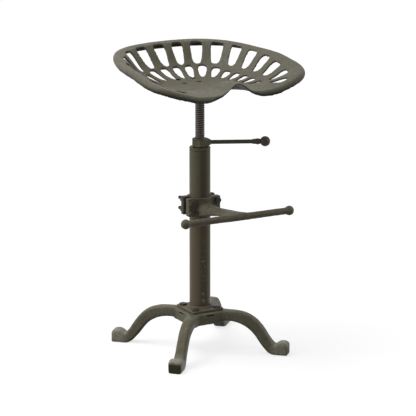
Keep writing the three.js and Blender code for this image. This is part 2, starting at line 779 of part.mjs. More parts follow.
function seatCasting() {
  const { halfWidth, front, rear, corner } = socketFlange;
  const padShape = roundedRectangle(-halfWidth, halfWidth, -front, rear, corner);
  const pad = raised(padShape, seatPadBottom, seatFloor - seatThickness / 2, 0, 3);
  let casting = seatShell().add(pad);
  const outer = slotCutters(outerSlots, outerSlotShares);
  const inner = slotCutters(innerSlots, innerSlotShares);
  for (const cutter of [...outer, ...inner]) {
    casting = casting.subtract(cutter);
  }
  for (const [x, y] of seatBoltPlaces) {
    const hole = rod(seatBolt.radius + boltPlay, seatPadBottom - overrun, seatCrestHigh, 16);
    const recess = rod(seatBolt.headRadius + boltPlay, seatBoltSeat, seatCrestHigh, 20);
    casting = casting.subtract(join(hole, recess).translate([x, y, 0]));
  }
  return casting;
}
addPiece("seat_casting", seatCasting(), castIron);

// The socket under the seat: a flange bolted to the pad, with a boss that is pinned to the screw's top
function seatSocket() {
  const { halfWidth, front, rear, corner, bevel } = socketFlange;
  const shape = roundedRectangle(-halfWidth, halfWidth, -front, rear, corner);
  const flange = raised(shape, socketFlangeBottom, socketFlangeTop, bevel, 3);
  const bossTop = socketFlangeBottom + socketFlange.height / 2;
  const bossOutline = [
    [0, socketBoss.bottomHeight],
    [socketBoss.bottom, socketBoss.bottomHeight],
    [socketBoss.top, socketFlangeBottom - socketBoss.collar],
    [socketBoss.top, bossTop],
    [0, bossTop],
  ];
  const boreRadius = screwRadius - threadDepth + clearance;
  const bore = rod(boreRadius, socketBoss.bottomHeight - overrun, screwTop + clearance, 24);
  const drilled = socketBoss.top + overrun;
  const pinHole = rodAlongX(crossPin.radius + clearance, -drilled, drilled, 12);
  let socket = join(flange, turned(bossOutline, 28)).subtract(bore);
  socket = socket.subtract(pinHole.translate([0, 0, crossPinHeight]));
  for (const [x, y] of seatBoltPlaces) {
    const hole = rod(seatBolt.radius + boltPlay, socketFlangeBottom - overrun, socketFlangeTop + overrun, 16);
    socket = socket.subtract(hole.translate([x, y, 0]));
  }
  return socket;
}
addPiece("seat_socket", seatSocket(), castIron);
const pinHalf = socketBoss.bottom + crossPin.show;
const pin = rodAlongX(crossPin.radius, -pinHalf, pinHalf, 12);
addPiece("socket_pin", pin.translate([0, 0, crossPinHeight]), boltSteel);

seatBoltPlaces.forEach(([x, y], i) => {
  const name = (i < 2 ? "front" : "rear") + (x < 0 ? "_left" : "_right");
  const nutTop = socketFlangeBottom - clearance;
  const headBottom = seatBoltSeat + clearance;
  const head = rod(seatBolt.headRadius, headBottom, headBottom + seatBolt.head - 2 * clearance, 20);
  const shank = rod(seatBolt.radius, nutTop - seatBolt.nut - threadShow, headBottom + clearance, 16);
  addPiece("seat_bolt_" + name, join(head, shank).translate([x, y, 0]), boltSteel);
  addPiece("seat_nut_" + name, hexNut(seatBolt).translate([x, y, nutTop - seatBolt.nut]), boltSteel);
});

export default stool;
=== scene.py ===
import math

import bmesh
import bpy
from mathutils import Matrix, Vector, noise


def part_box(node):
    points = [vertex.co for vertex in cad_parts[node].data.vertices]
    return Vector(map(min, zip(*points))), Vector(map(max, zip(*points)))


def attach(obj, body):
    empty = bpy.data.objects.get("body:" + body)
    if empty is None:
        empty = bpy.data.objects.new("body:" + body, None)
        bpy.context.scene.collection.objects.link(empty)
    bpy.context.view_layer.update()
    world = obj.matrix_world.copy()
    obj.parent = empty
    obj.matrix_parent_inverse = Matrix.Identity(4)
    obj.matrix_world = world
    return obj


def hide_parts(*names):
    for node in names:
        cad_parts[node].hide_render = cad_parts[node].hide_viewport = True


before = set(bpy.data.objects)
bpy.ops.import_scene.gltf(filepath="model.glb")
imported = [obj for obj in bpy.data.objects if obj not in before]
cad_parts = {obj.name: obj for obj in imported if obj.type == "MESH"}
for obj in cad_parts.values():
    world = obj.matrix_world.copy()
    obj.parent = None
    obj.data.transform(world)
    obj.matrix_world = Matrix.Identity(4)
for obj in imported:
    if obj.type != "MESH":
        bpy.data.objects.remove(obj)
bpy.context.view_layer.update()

# Studio. A plain pale floor under a white surround, with soft lamps overhead, on the left and on the
# right. The floor and the surround are white to the eye and give the iron little light from below.
tube_low, tube_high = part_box("column_tube")
column = Vector(((tube_low.x + tube_high.x) / 2, (tube_low.y + tube_high.y) / 2, 0))
view_heading = math.radians(-29.4)
view_elevation = math.radians(14.5)
view_distance = 6.357
view_aside = 0.0184
view_height = 0.331
view_limit = 60
focal_length = 242.3
sensor_width = 36
lamp_aim_height = 0.35
white = (1, 1, 1, 1)
floor_side = 30
floor_seen_near = 0.73
floor_seen_far = 0.9
floor_near = 0.5
floor_far = 3.0
floor_shade_seen = 0.36
floor_shade_bounced = 0.12
surround_strength = 0.2

toward_camera = Vector((
    math.sin(view_heading) * math.cos(view_elevation),
    -math.cos(view_heading) * math.cos(view_elevation),
    math.sin(view_elevation),
))
view_right = Vector((math.cos(view_heading), math.sin(view_heading), 0))
look_at = column + view_right * view_aside + Vector((0, 0, view_height))


def placed(name, data):
    """A new object in the scene that holds the data."""
    holder = bpy.data.objects.new(name, data)
    bpy.context.scene.collection.objects.link(holder)
    return holder


lens = bpy.data.cameras.new("camera")
lens.lens = focal_length
lens.sensor_width = sensor_width
lens.clip_end = view_limit
camera = placed("camera", lens)
camera.location = look_at + toward_camera * view_distance
camera.rotation_euler = toward_camera.to_track_quat("Z", "Y").to_euler()
bpy.context.scene.camera = camera


def soft_lamp(name, heading, elevation, distance, width, height, power):
    """A soft lamp that faces the stool. The heading is counted from the camera, to the right."""
    aim = column + Vector((0, 0, lamp_aim_height))
    turn = view_heading + math.radians(heading)
    rise = math.radians(elevation)
    away = Vector((math.sin(turn) * math.cos(rise), -math.cos(turn) * math.cos(rise), math.sin(rise)))
    lamp = bpy.data.lights.new(name, "AREA")
    lamp.shape = "RECTANGLE"
    lamp.size = width
    lamp.size_y = height
    lamp.energy = power
    holder = placed(name, lamp)
    holder.location = aim + away * distance
    holder.rotation_euler = away.to_track_quat("Z", "Y").to_euler()


soft_lamp("overhead_lamp", -84, 70, 2.7, 2.0, 2.0, 63)
soft_lamp("left_lamp", -70, 18, 2.4, 2.3, 2.0, 27)
soft_lamp("right_lamp", 90, 20, 2.6, 1.2, 2.0, 17)


def add_node(tree, kind, values=None, **settings):
    """A shader node with its settings, and with plain values or incoming sockets on its inputs."""
    node = tree.nodes.new(kind)
    for key, value in settings.items():
        setattr(node, key, value)
    for key, value in (values or {}).items():
        if isinstance(value, bpy.types.NodeSocket):
            tree.links.new(value, node.inputs[key])
        else:
            node.inputs[key].default_value = value
    return node


def arithmetic(tree, operation, one, other):
    """The value that a math node makes of two others."""
    return add_node(tree, "ShaderNodeMath", {0: one, 1: other}, operation=operation).outputs[0]


def times(tree, one, other):
    """The product of two values, such as a mask held back by another."""
    return arithmetic(tree, "MULTIPLY", one, other)


def vector_step(tree, operation, *vectors):
    """What a vector node makes of its inputs: a value if it measures or projects, and a vector otherwise."""
    made = add_node(tree, "ShaderNodeVectorMath", dict(enumerate(vectors)), operation=operation).outputs
    return made["Value" if operation in ("LENGTH", "DOT_PRODUCT") else "Vector"]


def object_place(tree):
    """Where a shaded point lies, in the object's own space."""
    return add_node(tree, "ShaderNodeTexCoord").outputs["Object"]


def seen_directly(tree):
    """1 where the camera, a reflection or clear glass looks at the surface, and 0 for scattered light."""
    path = add_node(tree, "ShaderNodeLightPath").outputs
    either = arithmetic(tree, "MAXIMUM", path["Is Camera Ray"], path["Is Glossy Ray"])
    return arithmetic(tree, "MAXIMUM", either, path["Is Transmission Ray"])


surround = bpy.data.worlds.new("surround")
surround.use_nodes = True
tree = surround.node_tree
tree.nodes.clear()
strength = add_node(tree, "ShaderNodeMix", {"Factor": seen_directly(tree), 2: surround_strength, 3: 1.0})
sky = add_node(tree, "ShaderNodeBackground", {"Color": white, "Strength": strength.outputs[0]})
add_node(tree, "ShaderNodeOutputWorld", {"Surface": sky.outputs[0]})
bpy.context.scene.world = surround
bpy.context.scene.view_settings.view_transform = "Standard"

pale = bpy.data.materials.new("pale_floor")
pale.use_nodes = True
tree = pale.node_tree
tree.nodes.clear()
seen = seen_directly(tree)
shade = add_node(tree, "ShaderNodeMix", {"Factor": seen, 2: floor_shade_bounced, 3: floor_shade_seen})
matt = add_node(tree, "ShaderNodeBsdfDiffuse", {"Color": shade.outputs[0]})
glow_here = add_node(tree, "ShaderNodeMapRange", {
    "Value": vector_step(tree, "LENGTH", object_place(tree)),
    "From Min": floor_near,
    "From Max": floor_far,
    "To Min": floor_seen_near,
    "To Max": floor_seen_far,
})
glow_strength = times(tree, seen, glow_here.outputs["Result"])
glow = add_node(tree, "ShaderNodeEmission", {"Color": white, "Strength": glow_strength})
both = add_node(tree, "ShaderNodeAddShader", {0: matt.outputs[0], 1: glow.outputs[0]})
add_node(tree, "ShaderNodeOutputMaterial", {"Surface": both.outputs[0]})


def mesh_piece(name, points, faces):
    """A new mesh object from its points and faces, with all its faces pointing out."""
    mesh = bpy.data.meshes.new(name)
    mesh.from_pydata(points, [], faces)
    shape = bmesh.new()
    shape.from_mesh(mesh)
    bmesh.ops.recalc_face_normals(shape, faces=shape.faces)
    shape.to_mesh(mesh)
    shape.free()
    return placed(name, mesh)


half = floor_side / 2
floor_corners = [(-half, -half, 0), (half, -half, 0), (half, half, 0), (-half, half, 0)]
floor = mesh_piece("floor", floor_corners, [(0, 1, 2, 3)])
floor.data.materials.append(pale)

# Base casting. One piece of grey iron from a sand mould: a square hub with four curved legs that end in
# upturned toes, fettled and coated with a dark satin lacquer that has browned and rubbed at the edges.
leg_reach = 0.209
leg_width = 0.025
leg_depth = 0.0285
leg_square = 5
leg_points = 28
toe_width = 0.031
toe_height = 0.032
sole_flat = 0.0012
hub_half_side = 0.049
hub_top = 0.094
hub_height = 0.022
hub_skirt = 0.005
hub_corner = 0.016
hub_bevel = 0.004
# Stations along a leg: reach, height, slope in degrees, depth and width. All but the slope are shares
leg_shares = [
    (0.14, 0.901, 0, 0.86, 1.24),
    (0.3, 0.904, -1, 0.86, 1.12),
    (0.4, 0.896, -4, 0.88, 1.02),
    (0.51, 0.84, -20, 0.95, 0.98),
    (0.587, 0.748, -34, 0.97, 0.95),
    (0.644, 0.635, -46, 0.94, 0.95),
    (0.698, 0.484, -54, 0.9, 0.96),
    (0.741, 0.343, -58, 0.87, 0.99),
    (0.778, 0.24, -54, 0.85, 1.04),
    (0.815, 0.16, -36, 0.84, 1.12),
    (0.852, 0.13, -6, 0.86, 1.2),
]
# Stations along the toe that follows: reach, height, depth and width
toe_shares = [
    (0.888, 0.46, 0.92, 1), (0.918, 0.505, 1, 1.02), (0.952, 0.505, 1, 1.03),
    (0.977, 0.49, 0.97, 1.03), (0.99, 0.455, 0.9, 1.01), (1.0, 0.415, 0.79, 0.97),
]


def smooth_row(stations, place):
    """A value for each column between given stations, on a smooth curve through them."""
    last = len(stations) - 1
    here = min(int(place), last - 1)
    part = place - here
    before, start, end, after = (stations[min(max(here + step, 0), last)] for step in (-1, 0, 1, 2))
    row = []
    for a, b, c, d in zip(before, start, end, after):
        bend = (2 * a - 5 * b + 4 * c - d) * part**2
        twist = (3 * b - a - 3 * c + d) * part**3
        row.append(0.5 * (2 * b + (c - a) * part + bend + twist))
    return row


def superellipse(count, square):
    """Points round a rounded square of half side 1. The higher the square, the sharper its corners."""
    points = []
    for i in range(count):
        angle = (i + 0.5) * math.tau / count
        across, up = math.cos(angle), math.sin(angle)
        points.append((
            math.copysign(abs(across) ** (2 / square), across),
            math.copysign(abs(up) ** (2 / square), up),
        ))
    return points


def loft(name, rings, closed=False):
    """A skin through rings of points, with two flat ends, or, if closed, joined back to its first ring."""
    count = len(rings[0])
    faces = []
    for row in range(len(rings) if closed else len(rings) - 1):
        here = row * count
        there = (row + 1) % len(rings) * count
        for i in range(count):
            after = (i + 1) % count
            faces.append((here + i, here + after, there + after, there + i))
    if not closed:
        faces.append(tuple(range(count)))
        faces.append(tuple(range((len(rings) - 1) * count, len(rings) * count)))
    return mesh_piece(name, [point for ring in rings for point in ring], faces)


def rounded_square(left, right, front, rear, corner, steps):
    """The outline of a plate with round corners, as [x, y]."""
    outline = []
    centres = [(right - corner, rear - corner), (left + corner, rear - corner),
               (left + corner, front + corner), (right - corner, front + corner)]
    for quarter, (x, y) in enumerate(centres):
        for step in range(steps + 1):
            angle = (quarter + step / steps) * math.pi / 2
            outline.append((x + corner * math.cos(angle), y + corner * math.sin(angle)))
    return outline


def slab(name, outline, low, high, bevel=0.0):
    """A flat plate with an outline, between two heights, with its edges rounded by two facets."""
    middle_x = sum(x for x, _ in outline) / len(outline)
    middle_y = sum(y for _, y in outline) / len(outline)
    reach = max(math.hypot(x - middle_x, y - middle_y) for x, y in outline)
    rows = [(0, low), (0, high)]
    if bevel:
        soft = 1 - math.sqrt(0.5)
        rows = [(bevel, low), (bevel * soft, low + bevel * soft), (0, low + bevel),
                (0, high - bevel), (bevel * soft, high - bevel * soft), (bevel, high)]
    rings = []
    for inset, height in rows:
        share = 1 - inset / reach
        rings.append([
            (middle_x + (x - middle_x) * share, middle_y + (y - middle_y) * share, height)
            for x, y in outline
        ])
    return loft(name, rings)


def moved(piece, matrix):
    """The piece with its points moved, and its object left at the origin."""
    piece.data.transform(matrix)
    return piece


def turned(name, profile, segments, ring=False):
    """A lathe-turned shape about Z from (radius, height) points. A ring's profile closes on itself."""
    points, rows, faces = [], [], []
    for radius, height in profile:
        if radius < 1e-6:
            rows.append([len(points)] * segments)
            points.append((0, 0, height))
        else:
            rows.append([len(points) + i for i in range(segments)])
            for i in range(segments):
                angle = i * math.tau / segments
                points.append((radius * math.cos(angle), radius * math.sin(angle), height))
    pairs = list(zip(rows, rows[1:]))
    if ring:
        pairs.append((rows[-1], rows[0]))
    for low, high in pairs:
        for i in range(segments):
            after = (i + 1) % segments
            corners = [low[i], low[after], high[after], high[i]]
            faces.append(tuple(dict.fromkeys(corners)))
    return mesh_piece(name, points, [face for face in faces if len(face) > 2])


def rod(name, radius, low, high, segments):
    """A plain round rod that stands on the Z axis."""
    return turned(name, [(0, low), (radius, low), (radius, high), (0, high)], segments)


def settled(piece):
    """The piece's mesh as its modifiers leave it, with no modifier left on it."""
    view = bpy.context.evaluated_depsgraph_get()
    made = bpy.data.meshes.new_from_object(piece.evaluated_get(view))
    piece.modifiers.clear()
    piece.data = made
    return piece


def joined(name, parts):
    """Several meshes as one, as they lie."""
    shape = bmesh.new()
    for part in parts:
        shape.from_mesh(part.data)
    mesh = bpy.data.meshes.new(name)
    shape.to_mesh(mesh)
    shape.free()
    for part in parts:
        bpy.data.objects.remove(part)
    return placed(name, mesh)


def fused(name, parts, grain, softening):
    """Overlapping solids melted into one cast skin, with fillets where they meet and soft edges."""
    whole = joined(name, parts)
    skin = whole.modifiers.new("skin", "REMESH")
    skin.mode = "VOXEL"
    skin.voxel_size = grain
    soften = whole.modifiers.new("soften", "SMOOTH")
    soften.factor = 0.5
    soften.iterations = softening
    return settled(whole)


def cut(piece, cutters):
    """The piece with holes where the cutters are."""
    tool = joined("cutter", cutters)
    hole = piece.modifiers.new("hole", "BOOLEAN")
    hole.operation = "DIFFERENCE"
    hole.solver = "EXACT"
    hole.object = tool
    settled(piece)
    bpy.data.objects.remove(tool)
    return piece


def roughened(piece, depth, size):
    """Slow waves in the surface, as a sand mould leaves them."""
    shape = bmesh.new()
    shape.from_mesh(piece.data)
    shape.normal_update()
    for point in shape.verts:
        point.co += point.normal * depth * noise.fractal(point.co / size, 1.0, 2.0, 2)
    shape.to_mesh(piece.data)
    shape.free()
    return piece


def shaded(piece, sharp_above=35):
    """Smooth shading, with edges sharper than the angle in degrees left crisp."""
    piece.data.shade_smooth()
    piece.data.set_sharp_from_angle(angle=math.radians(sharp_above))
    return piece


def base_leg(name):
    """One leg, running out along +X, with four rings to a station and three to one of the toe's."""
    section = superellipse(leg_points, leg_square)
    rings = []
    for step in range(len(leg_shares) * 4 - 3):
        reach, height, slope, depth, width = smooth_row(leg_shares, step / 4)
        tilt = math.radians(slope)
        ring = []
        for side, up in section:
            rise = up * depth * leg_depth / 2
            ring.append(Vector((
                reach * leg_reach - math.sin(tilt) * rise,
                side * width * leg_width / 2,
                height * hub_top + math.cos(tilt) * rise,
            )))
        rings.append(ring)
    for step in range(len(toe_shares) * 3 - 2):
        reach, height, depth, width = smooth_row(toe_shares, step / 3)
        rings.append([
            Vector((reach * leg_reach, side * width * toe_width / 2, (height + up * depth / 2) * toe_height))
            for side, up in section
        ])
    for ring in rings:
        for point in ring:
            point.z = max(point.z - sole_flat, 0)
    return loft(name, rings)


on_column = Matrix.Translation(column)
corner_turns = [Matrix.Rotation(math.radians(45 + 90 * quarter), 4, "Z") for quarter in range(4)]
hub_bottom = hub_top - hub_height - hub_skirt
hub_outline = rounded_square(
    -hub_half_side, hub_half_side, -hub_half_side, hub_half_side, hub_corner, steps=8)
solids = [slab("hub", hub_outline, hub_bottom, hub_top, hub_bevel)]
for corner_turn in corner_turns:
    solids.append(moved(base_leg("leg"), corner_turn))
base = fused("iron_base", solids, grain=0.0016, softening=4)
roughened(base, depth=0.0004, size=0.02)

# The hub's top is machined flat. It has a shallow pocket in each side, and at each corner a bolt hole with
# a recess below for the nut.
facing_half_side = 0.075
facing_corner = 0.03
pocket_reach = 0.0455
pocket_depth = 0.009
pocket_half_width = 0.0095
pocket_corner = 0.003
pocket_top = 0.0028
pocket_height = 0.0042
nut_recess = 0.0112
bolt_reach = 0.04
bolt_bore = 0.0054
facing_outline = rounded_square(
    -facing_half_side, facing_half_side, -facing_half_side, facing_half_side, facing_corner, steps=6)
cut(base, [slab("facing", facing_outline, hub_top, hub_top + leg_depth)])
pocket_outline = rounded_square(
    -pocket_depth / 2, pocket_depth, -pocket_half_width, pocket_half_width, pocket_corner, steps=5)
cutters = []
for quarter, corner_turn in enumerate(corner_turns):
    pocket = slab("pocket", pocket_outline, hub_top - pocket_top - pocket_height, hub_top - pocket_top)
    moved(pocket, Matrix.Translation((pocket_reach, 0, 0)))
    cutters.append(moved(pocket, Matrix.Rotation(math.radians(90 * quarter), 4, "Z")))
    bore = rod("bore", bolt_bore, hub_top - leg_depth * 1.5, hub_top + pocket_depth, segments=28)
    recess = rod("recess", nut_recess, hub_bottom - 0.01, hub_top - hub_height, segments=40)
    for cutter in (bore, recess):
        moved(cutter, Matrix.Translation((bolt_reach, 0, 0)))
        cutters.append(moved(cutter, corner_turn))
cut(base, cutters)
for point in base.data.vertices:
    point.co.z = max(point.co.z, 0)
moved(base, on_column)
shaded(base, sharp_above=50)


def effect(name, sockets):
    """A new shader node group. Each socket has a name, a kind and a default, and an output has no default."""
    group = bpy.data.node_groups.new(name, "ShaderNodeTree")
    kinds = {"value": "NodeSocketFloat", "colour": "NodeSocketColor", "vector": "NodeSocketVector"}
    for label, kind, default in sockets:
        way = "OUTPUT" if default is None else "INPUT"
        socket = group.interface.new_socket(label, in_out=way, socket_type=kinds[kind])
        if default is not None:
            socket.default_value = default
    return group, group.nodes.new("NodeGroupInput").outputs, group.nodes.new("NodeGroupOutput").inputs


def spread(tree, value, low, high):
    """A value stretched so that low becomes 0 and high becomes 1."""
    return add_node(tree, "ShaderNodeMapRange",
                    {"Value": value, "From Min": low, "From Max": high}).outputs["Result"]


def blended(tree, factor, below, above):
    """A colour between two others, the upper one where the factor is 1."""
    mix = add_node(tree, "ShaderNodeMix", {"Factor": factor, 6: below, 7: above}, data_type="RGBA")
    return mix.outputs[2]


# Browned lacquer: patches some centimetres wide drift from olive grey to brown, with darker freckles
patina, patina_in, patina_out = effect("browned_lacquer", [
    ("Place", "vector", (0, 0, 0)),
    ("Lacquer", "colour", (0.2, 0.19, 0.16, 1)),
    ("Brown", "colour", (0.2, 0.16, 0.12, 1)),
    ("Dark", "colour", (0.08, 0.08, 0.07, 1)),
    ("Brown Share", "value", 0.5),
    ("Dark Share", "value", 0.3),
    ("Colour", "colour", None),
    ("Worn", "value", None),
])
patches = add_node(patina, "ShaderNodeTexNoise",
                   {"Vector": patina_in["Place"], "Scale": 22, "Detail": 4, "Roughness": 0.6})
freckles = add_node(patina, "ShaderNodeTexNoise",
                    {"Vector": patina_in["Place"], "Scale": 170, "Detail": 3, "Roughness": 0.7})
brown_edge = arithmetic(patina, "ADD", patina_in["Brown Share"], patches.outputs["Fac"])
browned = blended(patina, spread(patina, brown_edge, 0.8, 1.15), patina_in["Lacquer"], patina_in["Brown"])
dark_edge = arithmetic(patina, "ADD", patina_in["Dark Share"], freckles.outputs["Fac"])
freckled = blended(patina, spread(patina, dark_edge, 0.72, 1.25), browned, patina_in["Dark"])
patina.links.new(freckled, patina_out["Colour"])
patina.links.new(spread(patina, freckles.outputs["Fac"], 0.3, 0.75), patina_out["Worn"])

# Cast skin: the height of sand grain and of a few small pits
skin, skin_in, skin_out = effect("cast_skin", [
    ("Place", "vector", (0, 0, 0)),
    ("Grain", "value", 900.0),
    ("Height", "value", None),
])
sand = add_node(skin, "ShaderNodeTexNoise",
                {"Vector": skin_in["Place"], "Scale": skin_in["Grain"], "Detail": 3, "Roughness": 0.65})
pit_scale = times(skin, skin_in["Grain"], 0.3)
pits = add_node(skin, "ShaderNodeTexVoronoi", {"Vector": skin_in["Place"], "Scale": pit_scale})
hollow = spread(skin, pits.outputs["Distance"], 0.0, 0.22)
skin.links.new(arithmetic(skin, "ADD", sand.outputs["Fac"], hollow), skin_out["Height"])

# Rubbed edges: where the surface turns sharply within a small radius, the coating is worn through
rubbed, rubbed_in, rubbed_out = effect("rubbed_edges", [
    ("Place", "vector", (0, 0, 0)),
    ("Radius", "value", 0.002),
    ("Amount", "value", 0.5),
    ("Mask", "value", None),
])
round_normal = add_node(rubbed, "ShaderNodeBevel", {"Radius": rubbed_in["Radius"]}, samples=6).outputs[0]
flat_normal = add_node(rubbed, "ShaderNodeNewGeometry").outputs["Normal"]
edge = spread(rubbed, vector_step(rubbed, "DOT_PRODUCT", round_normal, flat_normal), 0.995, 0.86)
scuffs = add_node(rubbed, "ShaderNodeTexNoise", {"Vector": rubbed_in["Place"], "Scale": 120, "Detail": 4})
patchy = times(rubbed, edge, spread(rubbed, scuffs.outputs["Fac"], 0.3, 0.65))
rubbed.links.new(times(rubbed, patchy, rubbed_in["Amount"]), rubbed_out["Mask"])


def coated_iron(name, lacquer, brown, dark, brown_share=0.5, dark_share=0.3, bare=(0.3, 0.29, 0.25),
                rub=0.8, rub_radius=0.002, grain=900, depth=0.00025, roughness=(0.42, 0.62), specular=0.18,
                drawn=1.0):
    """Dark lacquer on iron, with brown patches, freckles, cast grain and rubbed edges. Drawn steel has its
    patches stretched along Z."""
    look = bpy.data.materials.new(name)
    look.use_nodes = True
    tree = look.node_tree
    surface = tree.nodes["Principled BSDF"]
    place = object_place(tree)
    colour = add_node(tree, "ShaderNodeGroup", node_tree=patina)
    for label, value in (("Lacquer", lacquer), ("Brown", brown), ("Dark", dark)):
        colour.inputs[label].default_value = (*value, 1)
    colour.inputs["Brown Share"].default_value = brown_share
    colour.inputs["Dark Share"].default_value = dark_share
    tree.links.new(vector_step(tree, "MULTIPLY", place, (1, 1, 1 / drawn)), colour.inputs["Place"])
    edges = add_node(tree, "ShaderNodeGroup", node_tree=rubbed)
    edges.inputs["Radius"].default_value = rub_radius
    edges.inputs["Amount"].default_value = rub
    tree.links.new(place, edges.inputs["Place"])
    worn = blended(tree, edges.outputs["Mask"], colour.outputs["Colour"], (*bare, 1))
    tree.links.new(worn, surface.inputs["Base Color"])
    gloss = add_node(tree, "ShaderNodeMapRange",
                     {"Value": colour.outputs["Worn"], "To Min": roughness[0], "To Max": roughness[1]})
    tree.links.new(gloss.outputs["Result"], surface.inputs["Roughness"])
    surface.inputs["Specular IOR Level"].default_value = specular
    grains = add_node(tree, "ShaderNodeGroup", node_tree=skin)
    grains.inputs["Grain"].default_value = grain
    tree.links.new(place, grains.inputs["Place"])
    bump = add_node(tree, "ShaderNodeBump",
                    {"Strength": 0.6, "Distance": depth, "Height": grains.outputs["Height"]})
    tree.links.new(bump.outputs["Normal"], surface.inputs["Normal"])
    return look


def marked(look, mask, colour):
    """The finish with another colour where the mask is 1."""
    tree = look.node_tree
    entry = tree.nodes["Principled BSDF"].inputs["Base Color"]
    tree.links.new(blended(tree, mask, entry.links[0].from_socket, (*colour, 1)), entry)


def component(tree, vector, axis):
    """The X, Y or Z of a vector."""
    return add_node(tree, "ShaderNodeSeparateXYZ", {0: vector}).outputs[axis]


def from_column(tree):
    """The level way from the column's axis to a shaded point."""
    aside = vector_step(tree, "SUBTRACT", object_place(tree), tuple(column))
    return vector_step(tree, "MULTIPLY", aside, (1, 1, 0))


def fitted(piece, look, body, slot, *nodes):
    """The piece with its finish, riding on its body and standing for its nodes."""
    piece.data.materials.clear()
    piece.data.materials.append(look)
    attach(piece, body)
    if nodes:
        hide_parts(*nodes)
    return piece


base_iron = coated_iron("base_iron", (0.15, 0.147, 0.1), (0.13, 0.106, 0.069), (0.07, 0.066, 0.042),
                        brown_share=0.42, dark_share=0.34, bare=(0.3, 0.295, 0.25))
scuffed_iron = (0.33, 0.32, 0.262)
# The toes' dark end colour is partly dirt and partly painted shade; the coat under the legs is painted shade
toe_end_dirt_and_shade = (0.028, 0.021, 0.012)
painted_leg_shade = (0.022, 0.018, 0.011)
tree = base_iron.node_tree
from_axis = from_column(tree)
away = vector_step(tree, "LENGTH", from_axis)
up = component(tree, object_place(tree), "Z")
leg_normal = add_node(tree, "ShaderNodeNewGeometry").outputs["Normal"]
outward = vector_step(tree, "DOT_PRODUCT", vector_step(tree, "NORMALIZE", from_axis), leg_normal)
# Shoes have scuffed the toes pale
on_toe = spread(tree, away, 0.8 * leg_reach, 0.88 * leg_reach)
scuffs = add_node(tree, "ShaderNodeTexNoise", {"Scale": 60, "Detail": 3})
marked(base_iron, times(tree, on_toe, spread(tree, scuffs.outputs["Fac"], 0.25, 0.65)), scuffed_iron)
# The toes' end faces are darkened below their upper edge, partly by dirt and partly by painted shade where
# they turn down
at_tip = spread(tree, away, 0.95 * leg_reach, 0.97 * leg_reach)
end_face = times(tree, at_tip, spread(tree, outward, 0.72, 0.9))
marked(base_iron, times(tree, end_face, spread(tree, up, 0.8 * toe_height, 0.6 * toe_height)), toe_end_dirt_and_shade)
# Under the legs, where the surface faces down and towards the column, painted shade darkens the lacquer
on_outer_leg = spread(tree, away, 0.5 * leg_reach, 0.6 * leg_reach)
inner_face = times(tree, on_outer_leg, spread(tree, outward, -0.08, -0.35))
downward = spread(tree, component(tree, leg_normal, "Z"), 0.1, -0.1)
marked(base_iron, times(tree, inner_face, downward), painted_leg_shade)
fitted(base, base_iron, "base", "iron", "base_casting")

# Base plate. A square of plate steel with clipped corners that lies on the hub, drilled for its four bolts.
# The column is welded to it by a hand-laid bead, which is coated together with the plate. Pieces that touch
# are kept the piece gap apart, here and in all sections below.
piece_gap = 0.0003
plate_half_side = 0.04
plate_height = 0.0055
plate_corner = 0.004
plate_bevel = 0.001
plate_bottom = hub_top + piece_gap
plate_top = plate_bottom + plate_height
tube_radius = 0.024
bead_size = 0.0045
bead_root = 0.00225
bead_segments = 160
bead_wobble = 0.0006


def drilled(places, radius, low, high):
    """Round cutters that stand upright at the places."""
    return [
        moved(rod("drill", radius, low, high, segments=32), Matrix.Translation((x, y, 0)))
        for x, y in places
    ]


def weld_bead(name):
    """A fillet weld round the tube: 31 uneven dabs of the welding rod, on seven slower swells."""
    rings = []
    for i in range(bead_segments):
        angle = i * math.tau / bead_segments
        dabs = math.sin(angle * 31 + 2 * math.sin(angle * 3)) * 0.4
        swells = math.sin(angle * 7) * 0.5
        size = bead_size + bead_wobble * (dabs + swells)
        ring = []
        for out, up in ((0, -bead_root), (0, size), (0.45 * size, 0.9 * size), (0.8 * size, 0.6 * size),
                        (size, 0.0), (0.9 * size, -bead_root)):
            radius = tube_radius + piece_gap + out
            ring.append((radius * math.cos(angle), radius * math.sin(angle), plate_top + up))
        rings.append(ring)
    return loft(name, rings, closed=True)


bolt_places = []
for quarter in range(4):
    angle = math.radians(45 + 90 * quarter)
    bolt_places.append((bolt_reach * math.cos(angle), bolt_reach * math.sin(angle)))

plate_outline = rounded_square(
    -plate_half_side, plate_half_side, -plate_half_side, plate_half_side, plate_corner, steps=6)
plate = slab("plate", plate_outline, plate_bottom, plate_top, plate_bevel)
cut(plate, drilled(bolt_places, bolt_bore, plate_bottom - 0.004, plate_top + 0.004))
plate = joined("column_plate", [plate, weld_bead("bead")])
moved(plate, on_column)
shaded(plate, sharp_above=32)
plate_iron = coated_iron("plate_steel", (0.142, 0.137, 0.092), (0.12, 0.092, 0.06), (0.05, 0.044, 0.03),
                         bare=(0.25, 0.24, 0.2), rub_radius=0.0012, grain=1300, depth=0.00018)
fitted(plate, plate_iron, "base", "iron", "base_plate")

# Plate bolts. Four hexagon bolts drop through the plate and the hub, each with a nut drawn up under the
# hub. Plain steel, coated with the stool, so that only their corners and threads show dark metal.
base_bolt = {"radius": 0.005, "across": 0.017, "head": 0.0035, "nut": 0.008, "pitch": 0.0015}
plate_bolt_turns = {"rear_right": 12, "rear_left": 24, "front_left": -9, "front_right": 33}
thread_show = 0.003
hole_play = 0.0004
thread_depth_share = 0.55
tip_share = 0.7
shank_in_head = 0.001
# The nuts bear on the hub's recesses, or on the legs where those hang lower
leg_underside = (leg_shares[0][1] * hub_top - sole_flat) - leg_shares[0][3] * leg_depth / 2
nut_face = min(hub_top - hub_height, leg_underside) - piece_gap


